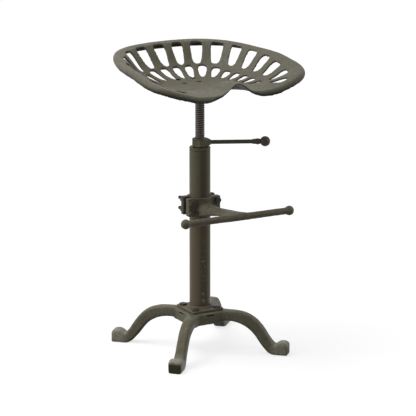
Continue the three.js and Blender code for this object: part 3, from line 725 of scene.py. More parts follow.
def hexagonal(name, across, low, high, bore=0.0):
    """A hexagonal head, or a nut if it has a bore, with its corners chamfered at both ends."""
    sides, count = 6, 48
    flat = across / 2
    shoulder = flat * 0.94
    chamfer_slope = math.tan(math.radians(30))
    bore_edge = 0.0005

    def outline(height, up):
        ring = []
        for i in range(count):
            angle = i * math.tau / count
            off = angle - round(angle / (math.tau / sides)) * math.tau / sides
            radius = flat / math.cos(off)
            drop = max(0.0, radius - shoulder) * chamfer_slope
            ring.append((radius * math.cos(angle), radius * math.sin(angle), height - up * drop))
        return ring

    def circle(radius, height):
        angles = [i * math.tau / count for i in range(count)]
        return [(radius * math.cos(angle), radius * math.sin(angle), height) for angle in angles]

    rings = [circle(shoulder, low), outline(low, -1), outline(high, 1), circle(shoulder, high)]
    if not bore:
        return loft(name, rings)
    rings = [circle(bore, low + bore_edge), circle(bore + bore_edge, low), *rings,
             circle(bore + bore_edge, high), circle(bore, high - bore_edge)]
    return loft(name, rings, closed=True)


def trimmed(shape, place, way):
    """A mesh cut off at a plane. What lies beyond it, the plane's way, is gone, and the cut is closed."""
    made = bmesh.ops.bisect_plane(
        shape, geom=shape.verts[:] + shape.edges[:] + shape.faces[:],
        plane_co=place, plane_no=way, clear_outer=True)
    rim = [item for item in made["geom_cut"] if isinstance(item, bmesh.types.BMEdge)]
    bmesh.ops.contextual_create(shape, geom=rim)


def threaded(name, radius, depth, pitch, low, high, segments=32, tip=0.0):
    """A rod with a helical thread, made half a turn or more too long, cut square at both ends, and with its
    lower tip chamfered."""
    shape_of_thread = (0, 0, 0.5, 1, 1, 0.5)
    steps = len(shape_of_thread)
    rows = math.ceil((high - low) / pitch + 3) * steps
    points = []
    for row in range(rows + 1):
        for i in range(segments):
            angle = i * math.tau / segments
            height = low - 1.5 * pitch + pitch * (row / steps + i / segments)
            reach = radius - depth * shape_of_thread[row % steps]
            if tip:
                reach = min(reach, radius - tip + max(0.0, height - low))
            points.append((reach * math.cos(angle), reach * math.sin(angle), height))

    def at(row, i):
        return row * segments + i if i < segments else (row + steps) * segments

    faces = []
    for row in range(rows - steps):
        for i in range(segments):
            faces.append((at(row, i), at(row, i + 1), at(row + 1, i + 1), at(row + 1, i)))
    mesh = bpy.data.meshes.new(name)
    mesh.from_pydata(points, [], faces)
    shape = bmesh.new()
    shape.from_mesh(mesh)
    for height, way in ((low, -1), (high, 1)):
        trimmed(shape, (0, 0, height), (0, 0, way))
    loose = [point for point in shape.verts if not point.link_faces]
    bmesh.ops.delete(shape, geom=loose, context="VERTS")
    bmesh.ops.recalc_face_normals(shape, faces=shape.faces)
    shape.to_mesh(mesh)
    shape.free()
    return placed(name, mesh)


def united(piece, other):
    """The piece with another solid added to it as one skin."""
    add = piece.modifiers.new("add", "BOOLEAN")
    add.operation = "UNION"
    add.solver = "EXACT"
    add.object = other
    settled(piece)
    bpy.data.objects.remove(other)
    return piece


def hexagon_bolt(name, size, grip):
    """A bolt whose head stands on height 0, with its shank below it."""
    head = hexagonal(name, size["across"], 0, size["head"])
    pitch = size["pitch"]
    shank = threaded("shank", size["radius"], pitch * thread_depth_share, pitch, -grip, shank_in_head,
                     tip=pitch * tip_share)
    return united(head, shank)


def hexagon_nut(name, size):
    """The bolt's nut, whose upper face lies at height 0."""
    return hexagonal(name, size["across"], -size["nut"], 0, size["radius"] + hole_play)


def copied(piece, name, matrix):
    """Another of the same piece, moved from where the first was made."""
    mesh = piece.data.copy()
    mesh.name = name
    mesh.transform(matrix)
    return placed(name, mesh)


bolt_iron = coated_iron("bolt_steel", (0.058, 0.052, 0.038), (0.062, 0.043, 0.028), (0.022, 0.019, 0.014),
                        dark_share=0.4, bare=(0.17, 0.16, 0.135), rub_radius=0.0008, grain=1500,
                        depth=0.00012, roughness=(0.36, 0.55), specular=0.25)


def fastened(pattern, name, matrix, body, node):
    """Another bolt or nut like the pattern, in its place and finished."""
    fitted(shaded(copied(pattern, name, matrix)), bolt_iron, body, "steel", node)


head_face = plate_top + piece_gap
pattern_bolt = hexagon_bolt("bolt", base_bolt, head_face - nut_face + base_bolt["nut"] + thread_show)
pattern_nut = hexagon_nut("nut", base_bolt)
for (corner, degrees), (x, y) in zip(plate_bolt_turns.items(), bolt_places):
    turn = Matrix.Rotation(math.radians(degrees), 4, "Z")
    for kind, pattern, height in (("bolt_", pattern_bolt, head_face), ("nut_", pattern_nut, nut_face)):
        move = Matrix.Translation(column + Vector((x, y, height))) @ turn
        fastened(pattern, "plate_" + kind + corner, move, "base", "base_" + kind + corner)
bpy.data.objects.remove(pattern_bolt)
bpy.data.objects.remove(pattern_nut)

# Column. One length of round steel tube, welded to the plate at its foot. Its lacquer has gone brown in
# long patches, with a strip of painted shade down its front and a few chips to pale metal below the footrest.
tube_wall = 0.0032
tube_bottom = plate_top + piece_gap
tube_top = 0.468
tube_edge = 0.0006
inner = tube_radius - tube_wall
tube = turned("steel_column", [
    (inner, tube_bottom), (tube_radius, tube_bottom), (tube_radius, tube_top - tube_edge),
    (tube_radius - tube_edge, tube_top), (inner + tube_edge, tube_top), (inner, tube_top - tube_edge),
], segments=128, ring=True)
moved(tube, on_column)
shaded(tube)
tube_steel = coated_iron("column_steel", (0.104, 0.11, 0.063), (0.12, 0.096, 0.058), (0.066, 0.054, 0.032),
                         dark_share=0.2, bare=(0.25, 0.24, 0.2), rub=0.5, rub_radius=0.001, grain=700,
                         depth=0.00006, roughness=(0.3, 0.42), specular=0.16, drawn=3.5)
lower_brown = (0.128, 0.094, 0.061)
# The dark strip's colour is painted shade, for the dark band that the surroundings leave between the lamps
painted_shade_strip = (0.05, 0.039, 0.022)
chipped_steel = (0.23, 0.21, 0.155)
brown_from = 0.31
brown_full = 0.26
brown_strength = 0.6
painted_strip_strength = 0.62
chips_from = (0.1, 0.12)
chips_to = (0.25, 0.27)
painted_strip_heading = view_heading + math.radians(22)
painted_strip_way = (math.sin(painted_strip_heading) / tube_radius, -math.cos(painted_strip_heading) / tube_radius, 0)
tree = tube_steel.node_tree
place = object_place(tree)
up = component(tree, place, "Z")
facing = vector_step(tree, "DOT_PRODUCT", from_column(tree), painted_strip_way)
# The lower part, where feet reach, is browner, and a strip of painted shade runs all the way down
marked(tube_steel, times(tree, spread(tree, up, brown_from, brown_full), brown_strength), lower_brown)
marked(tube_steel, times(tree, spread(tree, facing, 0.9, 0.99), painted_strip_strength), painted_shade_strip)
# Heels have knocked a few pale chips into the tube, in the middle of that painted strip
chips = add_node(tree, "ShaderNodeTexNoise", {"Vector": place, "Scale": 130, "Detail": 2})
chipped_heights = times(tree, spread(tree, up, *reversed(chips_to)), spread(tree, up, *chips_from))
chipped_strip = times(tree, spread(tree, facing, 0.962, 0.985), chipped_heights)
marked(tube_steel, times(tree, chipped_strip, spread(tree, chips.outputs["Fac"], 0.58, 0.65)), chipped_steel)
fitted(tube, tube_steel, "base", "tube", "column_tube")

# Column nut. A turned collar pressed into the top of the tube, which the screw runs through. Two fine
# grooves mark its joint with the tube, and its upper edge is bevelled.
collar_height = 0.0067
collar_bottom = tube_top + piece_gap
collar_top = collar_bottom + collar_height
collar_bevel = 0.0016
collar_bore_edge = 0.0008
groove_depth = 0.0014
groove_low = 0.0008
groove_high = 0.0013
spigot_length = 0.026
spigot_play = 0.0005
spigot_edge = 0.0006
spigot_bottom = collar_bottom - spigot_length
spigot_radius = inner - spigot_play
screw_radius = 0.011
screw_play = 0.0006
screw_bore = screw_radius + screw_play
collar = turned("column_collar", [
    (screw_bore, spigot_bottom + spigot_edge), (screw_bore + spigot_edge, spigot_bottom),
    (spigot_radius - spigot_edge, spigot_bottom), (spigot_radius, spigot_bottom + spigot_edge),
    (spigot_radius, collar_bottom), (tube_radius - groove_depth, collar_bottom),
    (tube_radius - groove_depth, collar_bottom + groove_low), (tube_radius, collar_bottom + groove_high),
    (tube_radius, collar_top - collar_bevel), (tube_radius - collar_bevel, collar_top),
    (screw_bore + collar_bore_edge, collar_top), (screw_bore, collar_top - collar_bore_edge),
], segments=96, ring=True)
moved(collar, on_column)
shaded(collar)
collar_iron = coated_iron("collar_iron", (0.112, 0.117, 0.069), (0.1, 0.08, 0.05), (0.04, 0.037, 0.026),
                          bare=(0.25, 0.245, 0.2), rub=0.9, rub_radius=0.001, depth=0.0001,
                          roughness=(0.34, 0.48), specular=0.2)
fitted(collar, collar_iron, "base", "iron", "column_nut")

# Lifting screw. A long steel screw with a coarse thread, oiled dark, with its plain top pinned in the
# seat's socket and a tapped hole up its foot for the guide's bolt.
screw_pitch = 0.005
screw_depth = 0.0016
# The thread's crests are worn, so it is less deep than it was cut
thread_depth = 0.7 * screw_depth
screw_length = 0.25
screw_tip = 0.0012
screw_edge = 0.0008
screw_top = 0.597
screw_bottom = screw_top - screw_length
pin_radius = 0.0025
boss_bottom = 0.578
pin_height = (screw_top + boss_bottom) / 2
screw_core = screw_radius - screw_depth
guide_bolt_radius = 0.004
tapped_radius = guide_bolt_radius + 0.0002
tapped_depth = 0.0168
cut_past = 0.006
along_x = Matrix.Rotation(math.radians(90), 4, "Y")


def cross_hole(reach):
    """A cutter for the cross pin's hole, through the screw's axis."""
    hole = rod("pin_hole", pin_radius + piece_gap, -reach, reach, segments=24)
    return moved(hole, Matrix.Translation((0, 0, pin_height)) @ along_x)


screw = threaded("seat_screw", screw_radius, thread_depth, screw_pitch,
                 screw_bottom, boss_bottom - screw_pitch / 2, segments=56, tip=screw_tip)
top = turned("screw_top", [
    (0, boss_bottom - screw_pitch), (screw_core, boss_bottom - screw_pitch),
    (screw_core, screw_top - screw_edge), (screw_core - screw_edge, screw_top), (0, screw_top),
], segments=56)
united(screw, top)
tapped = rod("tapped", tapped_radius, screw_bottom - cut_past, screw_bottom + tapped_depth, segments=24)
cut(screw, [tapped, cross_hole(reach=0.02)])
moved(screw, on_column)
shaded(screw, sharp_above=25)
screw_steel = coated_iron("oiled_screw", (0.034, 0.028, 0.02), (0.045, 0.03, 0.02), (0.012, 0.011, 0.009),
                          rub=0.6, rub_radius=0.0011, grain=1200, depth=0.00008, roughness=(0.3, 0.48),
                          specular=0.3)
# The thread's crests are pale all round, partly worn bright by the nut and partly a painted highlight
crest_wear_and_highlight = (0.24, 0.22, 0.185)
crest_start = screw_radius - 0.0006
crest_full = screw_radius - 0.0001
tree = screw_steel.node_tree
away = vector_step(tree, "LENGTH", from_column(tree))
marked(screw_steel, spread(tree, away, crest_start, crest_full), crest_wear_and_highlight)
fitted(screw, screw_steel, "seat", "steel", "lifting_screw")

# Guide. A turned disc that slides in the tube and keeps the screw's foot in the middle, and the bolt that
# holds it against the screw. Both are out of sight inside the column.
guide_height = 0.008
guide_play = 0.0008
guide_edge = 0.0008
guide_bore_edge = 0.0004
guide_top = screw_bottom - piece_gap
guide_bottom = guide_top - guide_height
guide_radius = inner - guide_play
guide_bore = guide_bolt_radius + hole_play
disc = turned("sliding_guide", [
    (guide_bore, guide_bottom + guide_bore_edge), (guide_bore + guide_bore_edge, guide_bottom),
    (guide_radius - guide_edge, guide_bottom), (guide_radius, guide_bottom + guide_edge),
    (guide_radius, guide_top - guide_edge), (guide_radius - guide_edge, guide_top),
    (guide_bore + guide_bore_edge, guide_top), (guide_bore, guide_top - guide_bore_edge),
], segments=96, ring=True)
moved(disc, on_column)
fitted(shaded(disc), screw_steel, "guide", "steel", "screw_guide")
guide_size = {"radius": guide_bolt_radius, "across": 0.013, "head": 0.0055, "pitch": 0.00125}
guide_grip = 0.022
bolt = hexagon_bolt("guide_screw", guide_size, guide_grip)
upended = Matrix.Rotation(math.pi, 4, "X")
moved(bolt, Matrix.Translation(column + Vector((0, 0, guide_bottom - piece_gap))) @ upended)
fitted(shaded(bolt), bolt_iron, "seat", "steel", "guide_bolt")

# Locking lever. A hexagonal nut on the screw is tightened down on the column's collar by its handle: a
# round rod screwed into a boss on one flat, with a cast ball and its flared neck on the rod's end.
lever_heading = math.radians(-25.8)
lever_reach = 0.1477
lever_rod_radius = 0.0047
ball_radius = 0.0117
nut_across = 0.034
nut_height = 0.0185
nut_bottom = collar_top + piece_gap
nut_top = nut_bottom + nut_height
lever_height = (nut_bottom + nut_top) / 2
boss_root = 0.009
boss_collar = 0.0012
boss_collar_height = 0.0015
boss_tip = 0.006
boss_reach = 0.025
boss_bevel = 0.001
rod_edge = 0.0005
rod_bury = 0.008
neck_length = 0.029
neck_start = lever_reach - neck_length
lever_place = (Matrix.Translation(column + Vector((0, 0, lever_height)))
               @ Matrix.Rotation(lever_heading, 4, "Z") @ along_x)
half_nut = (nut_top - nut_bottom) / 2
body = moved(hexagonal("body", nut_across, -half_nut, half_nut), along_x.inverted())
nut_flat = nut_across / 2
boss = turned("boss", [
    (0, nut_across / 4), (boss_root + boss_collar, nut_across / 4), (boss_root + boss_collar, nut_flat),
    (boss_root, nut_flat + boss_collar_height), (boss_tip + 0.4 * boss_bevel, boss_reach - boss_bevel),
    (boss_tip - 0.6 * boss_bevel, boss_reach), (0, boss_reach),
], segments=48)
handle_nut = fused("handle_nut", [body, boss], grain=0.0006, softening=2)
blind = rod("blind", lever_rod_radius + piece_gap, boss_reach - rod_bury, boss_reach + 0.01, segments=32)
bore = moved(rod("bore", screw_bore, -0.03, 0.03, segments=48), along_x.inverted())
cut(handle_nut, [blind, bore])
moved(handle_nut, lever_place)
lever_iron = coated_iron("lever_iron", (0.148, 0.158, 0.09), (0.11, 0.088, 0.055), (0.05, 0.046, 0.032),
                         bare=(0.26, 0.255, 0.2), rub_radius=0.0012, depth=0.00015, roughness=(0.36, 0.5))
fitted(shaded(handle_nut, sharp_above=50), lever_iron, "lever", "iron", "lever_nut")


def pin_profile(radius, low, high):
    """The profile of a rod with small bevels at both ends."""
    return [(0, low), (radius - rod_edge, low), (radius, low + rod_edge),
            (radius, high - rod_edge), (radius - rod_edge, high), (0, high)]


rod_start = boss_reach - rod_bury + piece_gap
rod_end = neck_start + rod_bury - piece_gap
handle = turned("handle_rod", pin_profile(lever_rod_radius, rod_start, rod_end), segments=40)
moved(handle, lever_place)
handle_steel = coated_iron("handle_steel", (0.098, 0.096, 0.067), (0.074, 0.058, 0.04), (0.032, 0.03, 0.022),
                           bare=(0.22, 0.215, 0.18), rub=0.6, rub_radius=0.001, depth=0.00012,
                           roughness=(0.32, 0.46), specular=0.2)
fitted(shaded(handle), handle_steel, "lever", "iron", "lever_rod")

# The neck's radius, and how far each of its rings lies back from the ball's middle
neck = [
    (0.0054, 0.029), (0.0058, 0.0283), (0.0061, 0.0262), (0.0058, 0.0256), (0.006, 0.0235),
    (0.0066, 0.0198), (0.0071, 0.0163), (0.0069, 0.0152), (0.0063, 0.0128), (0.006, 0.0108),
]
ball_meets_neck = 0.0103
knob_bore = lever_rod_radius + piece_gap
knob_profile = [(0, neck_start + rod_bury), (knob_bore, neck_start + rod_bury),
                (knob_bore, neck_start + 0.0003), (0.005, neck_start)]
knob_profile += [(radius, lever_reach - back) for radius, back in neck]
first = math.acos(ball_meets_neck / ball_radius)
for step in range(25):
    angle = first + (math.pi - first) * step / 24
    knob_profile.append((ball_radius * math.sin(angle), lever_reach - ball_radius * math.cos(angle)))
knob_profile[-1] = (0, lever_reach + ball_radius)
knob = turned("handle_ball", knob_profile, segments=64)
roughened(knob, depth=0.00025, size=0.006)
moved(knob, lever_place)
fitted(shaded(knob, sharp_above=50), handle_steel, "lever", "iron", "lever_ball")

# Footrest. One casting of a clamp half, a waisted arm and a cross bar with a ball at each end, all a little
# uneven from the mould. A rear clamp half and four long bolts grip the column with it, by friction alone.
footrest_turn = math.radians(-1.5)
clamp_middle = 0.34
clamp_height = 0.0415
clamp_half_width = 0.0408
clamp_bolt_across = 0.0325
clamp_bolt_up = 0.012
clamp_front = (0.0079, 0.0243)
clamp_rear = (0.0023, 0.0164)
clamp_wrap = 0.006
clamp_corner = 0.0035
clamp_bevel = 0.0012
clamp_bore = tube_radius + piece_gap
clamp_size = {"radius": 0.004, "across": 0.013, "head": 0.0055, "nut": 0.0065, "pitch": 0.00125}
clamp_thread_show = 0.015
bar_reach = 0.181
bar_height = 0.351
bar_span = 0.26
bar_radius = 0.0077
bar_middle_radius = 0.0082
bar_ball_radius = 0.0111
arm_square = 2.6
arm_root_drop = 0.0075
# Stations along the arm: reach, half width, half height, and how far it has risen to the bar
arm_shares = [
    (0.13, 0.5, 0.37, 0), (0.2, 0.46, 0.345, 0.06), (0.28, 0.37, 0.31, 0.2), (0.42, 0.29, 0.25, 0.42),
    (0.58, 0.28, 0.215, 0.66), (0.73, 0.36, 0.2, 0.86), (0.85, 0.54, 0.19, 0.95), (0.93, 0.84, 0.18, 1),
    (1.0, 1.22, 0.14, 1),
]
along_y = Matrix.Rotation(math.radians(90), 4, "X")
footrest_place = on_column @ Matrix.Rotation(footrest_turn, 4, "Z")
clamp_low = clamp_middle - clamp_height / 2
clamp_high = clamp_middle + clamp_height / 2


def clamp_half(near, far, rearward):
    """The ears and the wall of one clamp half, solid through the column's place."""
    front, rear = (near, far) if rearward else (-far, -near)
    outline = rounded_square(-clamp_half_width, clamp_half_width, front, rear, clamp_corner, steps=5)
    ears = slab("ears", outline, clamp_low, clamp_high, clamp_bevel)
    wall = rod("wall", clamp_bore + clamp_wrap, clamp_low + 0.0002, clamp_high - 0.0002, segments=96)
    shape = bmesh.new()
    shape.from_mesh(wall.data)
    trimmed(shape, (0, near if rearward else -near, 0), (0, -1 if rearward else 1, 0))
    shape.to_mesh(wall.data)
    shape.free()
    return [ears, wall]


def bored(half):
    """The clamp half with the column's bore and the four bolt holes."""
    cutters = [rod("bore", clamp_bore, clamp_low - cut_past, clamp_high + cut_past, segments=96)]
    for x in (-clamp_bolt_across, clamp_bolt_across):
        for up in (-clamp_bolt_up, clamp_bolt_up):
            hole = rod("hole", clamp_size["radius"] + hole_play, -0.05, 0.05, segments=28)
            cutters.append(moved(hole, Matrix.Translation((x, 0, clamp_middle + up)) @ along_y))
    return cut(half, cutters)


arm_rings = []
root_height = clamp_middle - arm_root_drop
for step in range(len(arm_shares) * 4 - 3):
    reach, half_width, half_height, rise = smooth_row(arm_shares, step / 4)
    height = root_height + rise * (bar_height - root_height)
    arm_rings.append([
        (side * half_width * clamp_height, -reach * bar_reach, height + up * half_height * clamp_height)
        for side, up in superellipse(32, arm_square)
    ])
arm = loft("arm", arm_rings)
half_span = bar_span / 2
bar = turned("bar", [
    (0, -half_span), (bar_radius, -half_span), (bar_radius, -0.45 * half_span),
    (bar_middle_radius, -0.15 * half_span), (bar_middle_radius, 0.15 * half_span),
    (bar_radius, 0.45 * half_span), (bar_radius, half_span), (0, half_span),
], segments=48)
moved(bar, Matrix.Translation((0, -bar_reach, bar_height)) @ along_x)
solids = [*clamp_half(*clamp_front, rearward=False), arm, bar]
for side in (-1, 1):
    arc = [(0, -bar_ball_radius)]
    for step in range(1, 20):
        angle = math.pi * step / 20
        arc.append((bar_ball_radius * math.sin(angle), -bar_ball_radius * math.cos(angle)))
    arc.append((0, bar_ball_radius))
    ball_place = Matrix.Translation((side * half_span, -bar_reach, bar_height)) @ along_x
    solids.append(moved(turned("ball", arc, segments=40), ball_place))
footrest = fused("foot_rail", solids, grain=0.0011, softening=2)
roughened(footrest, depth=0.00035, size=0.011)
bored(footrest)
moved(footrest, footrest_place)
footrest_iron = coated_iron("footrest_iron", (0.16, 0.154, 0.108), (0.118, 0.094, 0.062),
                            (0.052, 0.047, 0.034), dark_share=0.36, bare=(0.27, 0.265, 0.22), rub=0.9,
                            grain=800, depth=0.0004)
fitted(shaded(footrest, sharp_above=50), footrest_iron, "footrest", "iron", "footrest_casting")

rear = fused("rear_clamp_half", clamp_half(*clamp_rear, rearward=True), grain=0.0009, softening=2)
roughened(rear, depth=0.0002, size=0.011)
bored(rear)
moved(rear, footrest_place)
rear_iron = coated_iron("rear_clamp_iron", (0.06, 0.058, 0.046), (0.052, 0.043, 0.03), (0.03, 0.028, 0.022),
                        rub=0.5)
fitted(shaded(rear, sharp_above=50), rear_iron, "footrest", "iron", "rear_clamp")

clamp_bolts = [
    ("upper_left", -clamp_bolt_across, clamp_bolt_up, 8),
    ("upper_right", clamp_bolt_across, clamp_bolt_up, 27),
    ("lower_left", -clamp_bolt_across, -clamp_bolt_up, 41),
    ("lower_right", clamp_bolt_across, -clamp_bolt_up, -14),
]
clamp_head_face = -clamp_front[1] - piece_gap
clamp_nut_face = clamp_rear[1] + piece_gap
clamp_grip = clamp_nut_face - clamp_head_face + clamp_size["nut"] + clamp_thread_show
pattern_bolt = hexagon_bolt("bolt", clamp_size, clamp_grip)
pattern_nut = hexagon_nut("nut", clamp_size)
for place, x, up, degrees in clamp_bolts:
    facing = along_y @ Matrix.Rotation(math.radians(degrees), 4, "Z")
    for kind, pattern, y in (("bolt_", pattern_bolt, clamp_head_face), ("nut_", pattern_nut, clamp_nut_face)):
        move = footrest_place @ Matrix.Translation((x, y, clamp_middle + up)) @ facing
        fastened(pattern, "rail_" + kind + place, move, "footrest", "clamp_" + kind + place)
bpy.data.objects.remove(pattern_bolt)
bpy.data.objects.remove(pattern_nut)

# Seat. A thin iron casting in the shape of a tractor's seat, with a dished pan, a rim rolled over all
# round, a notch at the front and two rings of slots. Worn smooth, with painted shade on its underside and
# notch.
seat_rear_reach = 0.196
seat_setback = 0.016
seat_floor = 0.615
seat_rise = 0.073
seat_thickness = 0.005
notch_thickness = 0.0038
# The rim rolls over in a quarter circle, hangs down by its skirt and tucks in at the lower edge
rim_roll = 0.008
rim_skirt = 0.0068
rim_tuck = 0.0018
rear_skirt = 0.0108
notch_roll = 0.003
notch_skirt = 0.0012
notch_lean = 2
# Headings are counted from the seat's rear, 0 to 180 degrees on either side. Between each two of these the
# casting changes from one form to the next: the side's pan, the front's pan, the notch's lean, its thinner
# wall and its lower rim.
side_pan_blend = (45, 80)
front_pan_blend = (108, 158)
notch_lean_blend = (145, 165)
notch_wall_blend = (135, 155)
notch_rim_blend = (154, 170)
# Stations round the rim: heading, reach as a share of the rear's, and height as a share of the seat's rise
rim_shares = [
    (0, 1, 1), (35, 1.085, 0.95), (70, 1.0, 0.87), (100, 1.036, 0.79), (125, 1.165, 0.558),
    (145, 0.98, 0.238), (156, 0.85, 0.16), (160, 0.82, 0.172), (164, 0.8, 0.192), (168, 0.785, 0.24),
    (172, 0.772, 0.348), (176, 0.765, 0.44), (180, 0.76, 0.478),
]
# Stations out from the middle: reach, and how far the pan has risen to the rim there, at the rear, at the
# side and at the front
pan_shares = [
    (0.02, 0, 0, 0), (0.16, 0, 0, 0.03), (0.3, 0.01, 0.01, 0.22), (0.49, 0.09, 0.09, 0.66),
    (0.6, 0.22, 0.22, 0.82), (0.71, 0.43, 0.42, 0.93), (0.79, 0.72, 0.68, 0.99), (0.86, 0.965, 0.89, 0.99),
    (0.895, 0.975, 0.93, 0.985), (0.925, 0.997, 0.972, 1),
]
# Each ring of slots: how many there are, their pitch in degrees, their width at both ends as a share of the
# pitch, and how square their corners are. Then the ring's stations: heading, where a slot starts and ends as
# a share of the way to the rim, and how much of its full width it keeps.
outer_slots = {"count": 18, "pitch": 15.9, "narrow": 0.46, "wide": 0.64, "square": 3.2}
outer_slot_shares = [
    (0, 0.685, 0.885, 1), (72, 0.685, 0.885, 1), (103, 0.685, 0.852, 1), (119, 0.65, 0.832, 1),
    (136, 0.73, 0.888, 0.74),
]
inner_slots = {"count": 19, "pitch": 14.2, "narrow": 0.38, "wide": 0.74, "square": 2.8}
inner_slot_shares = [
    (0, 0.445, 0.665, 1), (28, 0.445, 0.665, 1), (57, 0.445, 0.608, 1), (128, 0.45, 0.6, 0.9),
]
seat_columns = 208


def from_rear(angle):
    """A heading in degrees folded onto 0 at the seat's rear to 180 at its front, on either side."""
    return abs((angle + 540) % 360 - 180)


def ramp(value, start, end):
    """0 up to the start, 1 from the end on, and straight between."""
    return min(max((value - start) / (end - start), 0), 1)


def rim_value(angle, column_of):
    """A smooth value between the rim's stations, the same on both sides but for the notch's lean."""
    folded = from_rear(angle + notch_lean * ramp(from_rear(angle), *notch_lean_blend))
    last = len(rim_shares) - 1
    upper = next(i for i in range(1, last + 1) if rim_shares[i][0] >= folded)
    near = []
    for i in range(upper - 2, upper + 2):
        if i < 0:
            near.append((-rim_shares[-i][0], rim_shares[-i][column_of]))
        elif i > last:
            near.append((360 - rim_shares[2 * last - i][0], rim_shares[2 * last - i][column_of]))
        else:
            near.append((rim_shares[i][0], rim_shares[i][column_of]))
    (a, before), (b, start), (c, end), (d, after) = near
    part = (folded - b) / (c - b)
    leave = (end - before) / (c - a) * (c - b)
    arrive = (after - start) / (d - b) * (c - b)
    return ((2 * part**3 - 3 * part**2 + 1) * start + (part**3 - 2 * part**2 + part) * leave
            + (3 * part**2 - 2 * part**3) * end + (part**3 - part**2) * arrive)


def pan_line(angle):
    """The top of the casting at one heading, from the middle out over the rolled rim."""
    reach = seat_rear_reach * rim_value(angle, 1)
    crest = seat_floor + seat_rise * rim_value(angle, 2)
    folded = from_rear(angle)
    side = ramp(folded, *side_pan_blend)
    front = ramp(folded, *front_pan_blend)
    front = front * front * (3 - 2 * front)
    notch = ramp(folded, *notch_rim_blend)
    line = []
    for step in range(len(pan_shares) * 3 - 2):
        out, rear_up, side_up, front_up = smooth_row(pan_shares, step / 3)
        up = rear_up + (side_up - rear_up) * side
        up += (front_up - up) * front
        line.append((out * reach, seat_floor + up * (crest - seat_floor)))
    roll = rim_roll + (notch_roll - rim_roll) * notch
    rear = max(0.0, math.cos(math.radians(min(folded * 1.3, 90)))) ** 2
    skirt = rim_skirt + (rear_skirt - rim_skirt) * rear + (notch_skirt - rim_skirt) * notch
    for step in range(7):
        turn = step / 6 * math.pi / 2
        line.append((reach - roll + roll * math.sin(turn), crest - roll + roll * math.cos(turn)))
    line.append((reach - rim_tuck * (1 - notch), crest - roll - skirt))
    return line


def seat_shell(name):
    """The whole pan without its slots: its top line at each heading, and the same line set down below it."""
    rows = []
    for column_index in range(seat_columns):
        angle = column_index * 360 / seat_columns
        top = pan_line(angle)
        notch_wall = ramp(from_rear(angle), *notch_wall_blend)
        thickness = seat_thickness + (notch_thickness - seat_thickness) * notch_wall
        under = []
        for i, point in enumerate(top):
            before, after = top[max(0, i - 1)], top[min(len(top) - 1, i + 1)]
            run, rise = after[0] - before[0], after[1] - before[1]
            length = math.hypot(run, rise)
            under.append((
                max(point[0] + rise / length * thickness, 0.001),
                point[1] - run / length * thickness,
            ))
        heading = math.radians(angle)
        rows.append([
            (radius * math.sin(heading), radius * math.cos(heading) - seat_setback, height)
            for radius, height in top + under[::-1]
        ])
    count = len(rows[0])
    faces = []
    for row in range(seat_columns):
        after = (row + 1) % seat_columns
        for i in range(count - 1):
            faces.append((row * count + i, row * count + i + 1, after * count + i + 1, after * count + i))
    faces.append([row * count for row in range(seat_columns)])
    faces.append([row * count + count - 1 for row in range(seat_columns)])
    return mesh_piece(name, [point for row in rows for point in row], faces)


def slot_cutter(heading, slots, shares):
    """A petal-shaped cutter between two shares of the reach, wider at its outer end."""
    rows = list(zip(shares, shares[1:]))
    low, high = next((row for row in rows if row[1][0] >= abs(heading)), rows[-1])
    part = (abs(heading) - low[0]) / (high[0] - low[0])
    start, end, slim = (a + (b - a) * part for a, b in zip(low[1:], high[1:]))
    power = 2 / slots["square"]
    outline = []
    for i in range(36):
        angle = (i + 0.5) * math.tau / 36
        along = math.copysign(abs(math.cos(angle)) ** power, math.cos(angle))
        aside = math.copysign(abs(math.sin(angle)) ** power, math.sin(angle))
        width = (slots["narrow"] + slots["wide"] + along * (slots["wide"] - slots["narrow"])) / 2
        turn = heading + aside * width * slim * slots["pitch"] / 2
        radius = (start + end + along * (end - start)) / 2 * seat_rear_reach * rim_value(turn, 1)
        way = math.radians(turn)
        outline.append((radius * math.sin(way), radius * math.cos(way) - seat_setback))
    return slab("slot", outline, seat_floor - cut_past, seat_floor + seat_rise + cut_past)


flange_half_width = 0.031
flange_front = 0.026
flange_rear = 0.08
flange_corner = 0.01
pad_depth = 0.0025
pad_bottom = seat_floor - seat_thickness - pad_depth
flange_outline = rounded_square(
    -flange_half_width, flange_half_width, -flange_front, flange_rear, flange_corner, steps=8)
cutters = []
for slots, shares in ((outer_slots, outer_slot_shares), (inner_slots, inner_slot_shares)):
    for i in range(slots["count"]):
        cutters.append(slot_cutter((i - (slots["count"] - 1) / 2) * slots["pitch"], slots, shares))
pan = cut(seat_shell("pan"), cutters)
pad = slab("pad", flange_outline, pad_bottom, seat_floor - seat_thickness / 2)
seat = fused("tractor_seat", [pan, pad], grain=0.00195, softening=3)
roughened(seat, depth=0.0003, size=0.02)

seat_bolt_rows = (0.036, 0.066)
seat_bolt_aside = 0.019
seat_bolt_places = [(x, y) for y in seat_bolt_rows for x in (-seat_bolt_aside, seat_bolt_aside)]
seat_bolt_radius = 0.003
seat_bolt_bore = seat_bolt_radius + hole_play
seat_bolt_head_radius = 0.0056
seat_bolt_head = 0.0032
seat_bolt_seat = seat_floor - seat_bolt_head
seat_drill_top = seat_floor + 0.01
cut(seat, drilled(seat_bolt_places, seat_bolt_bore, pad_bottom - cut_past, seat_drill_top))
cut(seat, drilled(seat_bolt_places, seat_bolt_head_radius + hole_play, seat_bolt_seat, seat_drill_top))
moved(seat, on_column)
seat_iron = coated_iron("seat_iron", (0.102, 0.099, 0.069), (0.1, 0.082, 0.056), (0.055, 0.05, 0.036),
                        brown_share=0.4, bare=(0.2, 0.195, 0.165), rub=0.7, grain=700, depth=0.0003,
                        roughness=(0.4, 0.58))
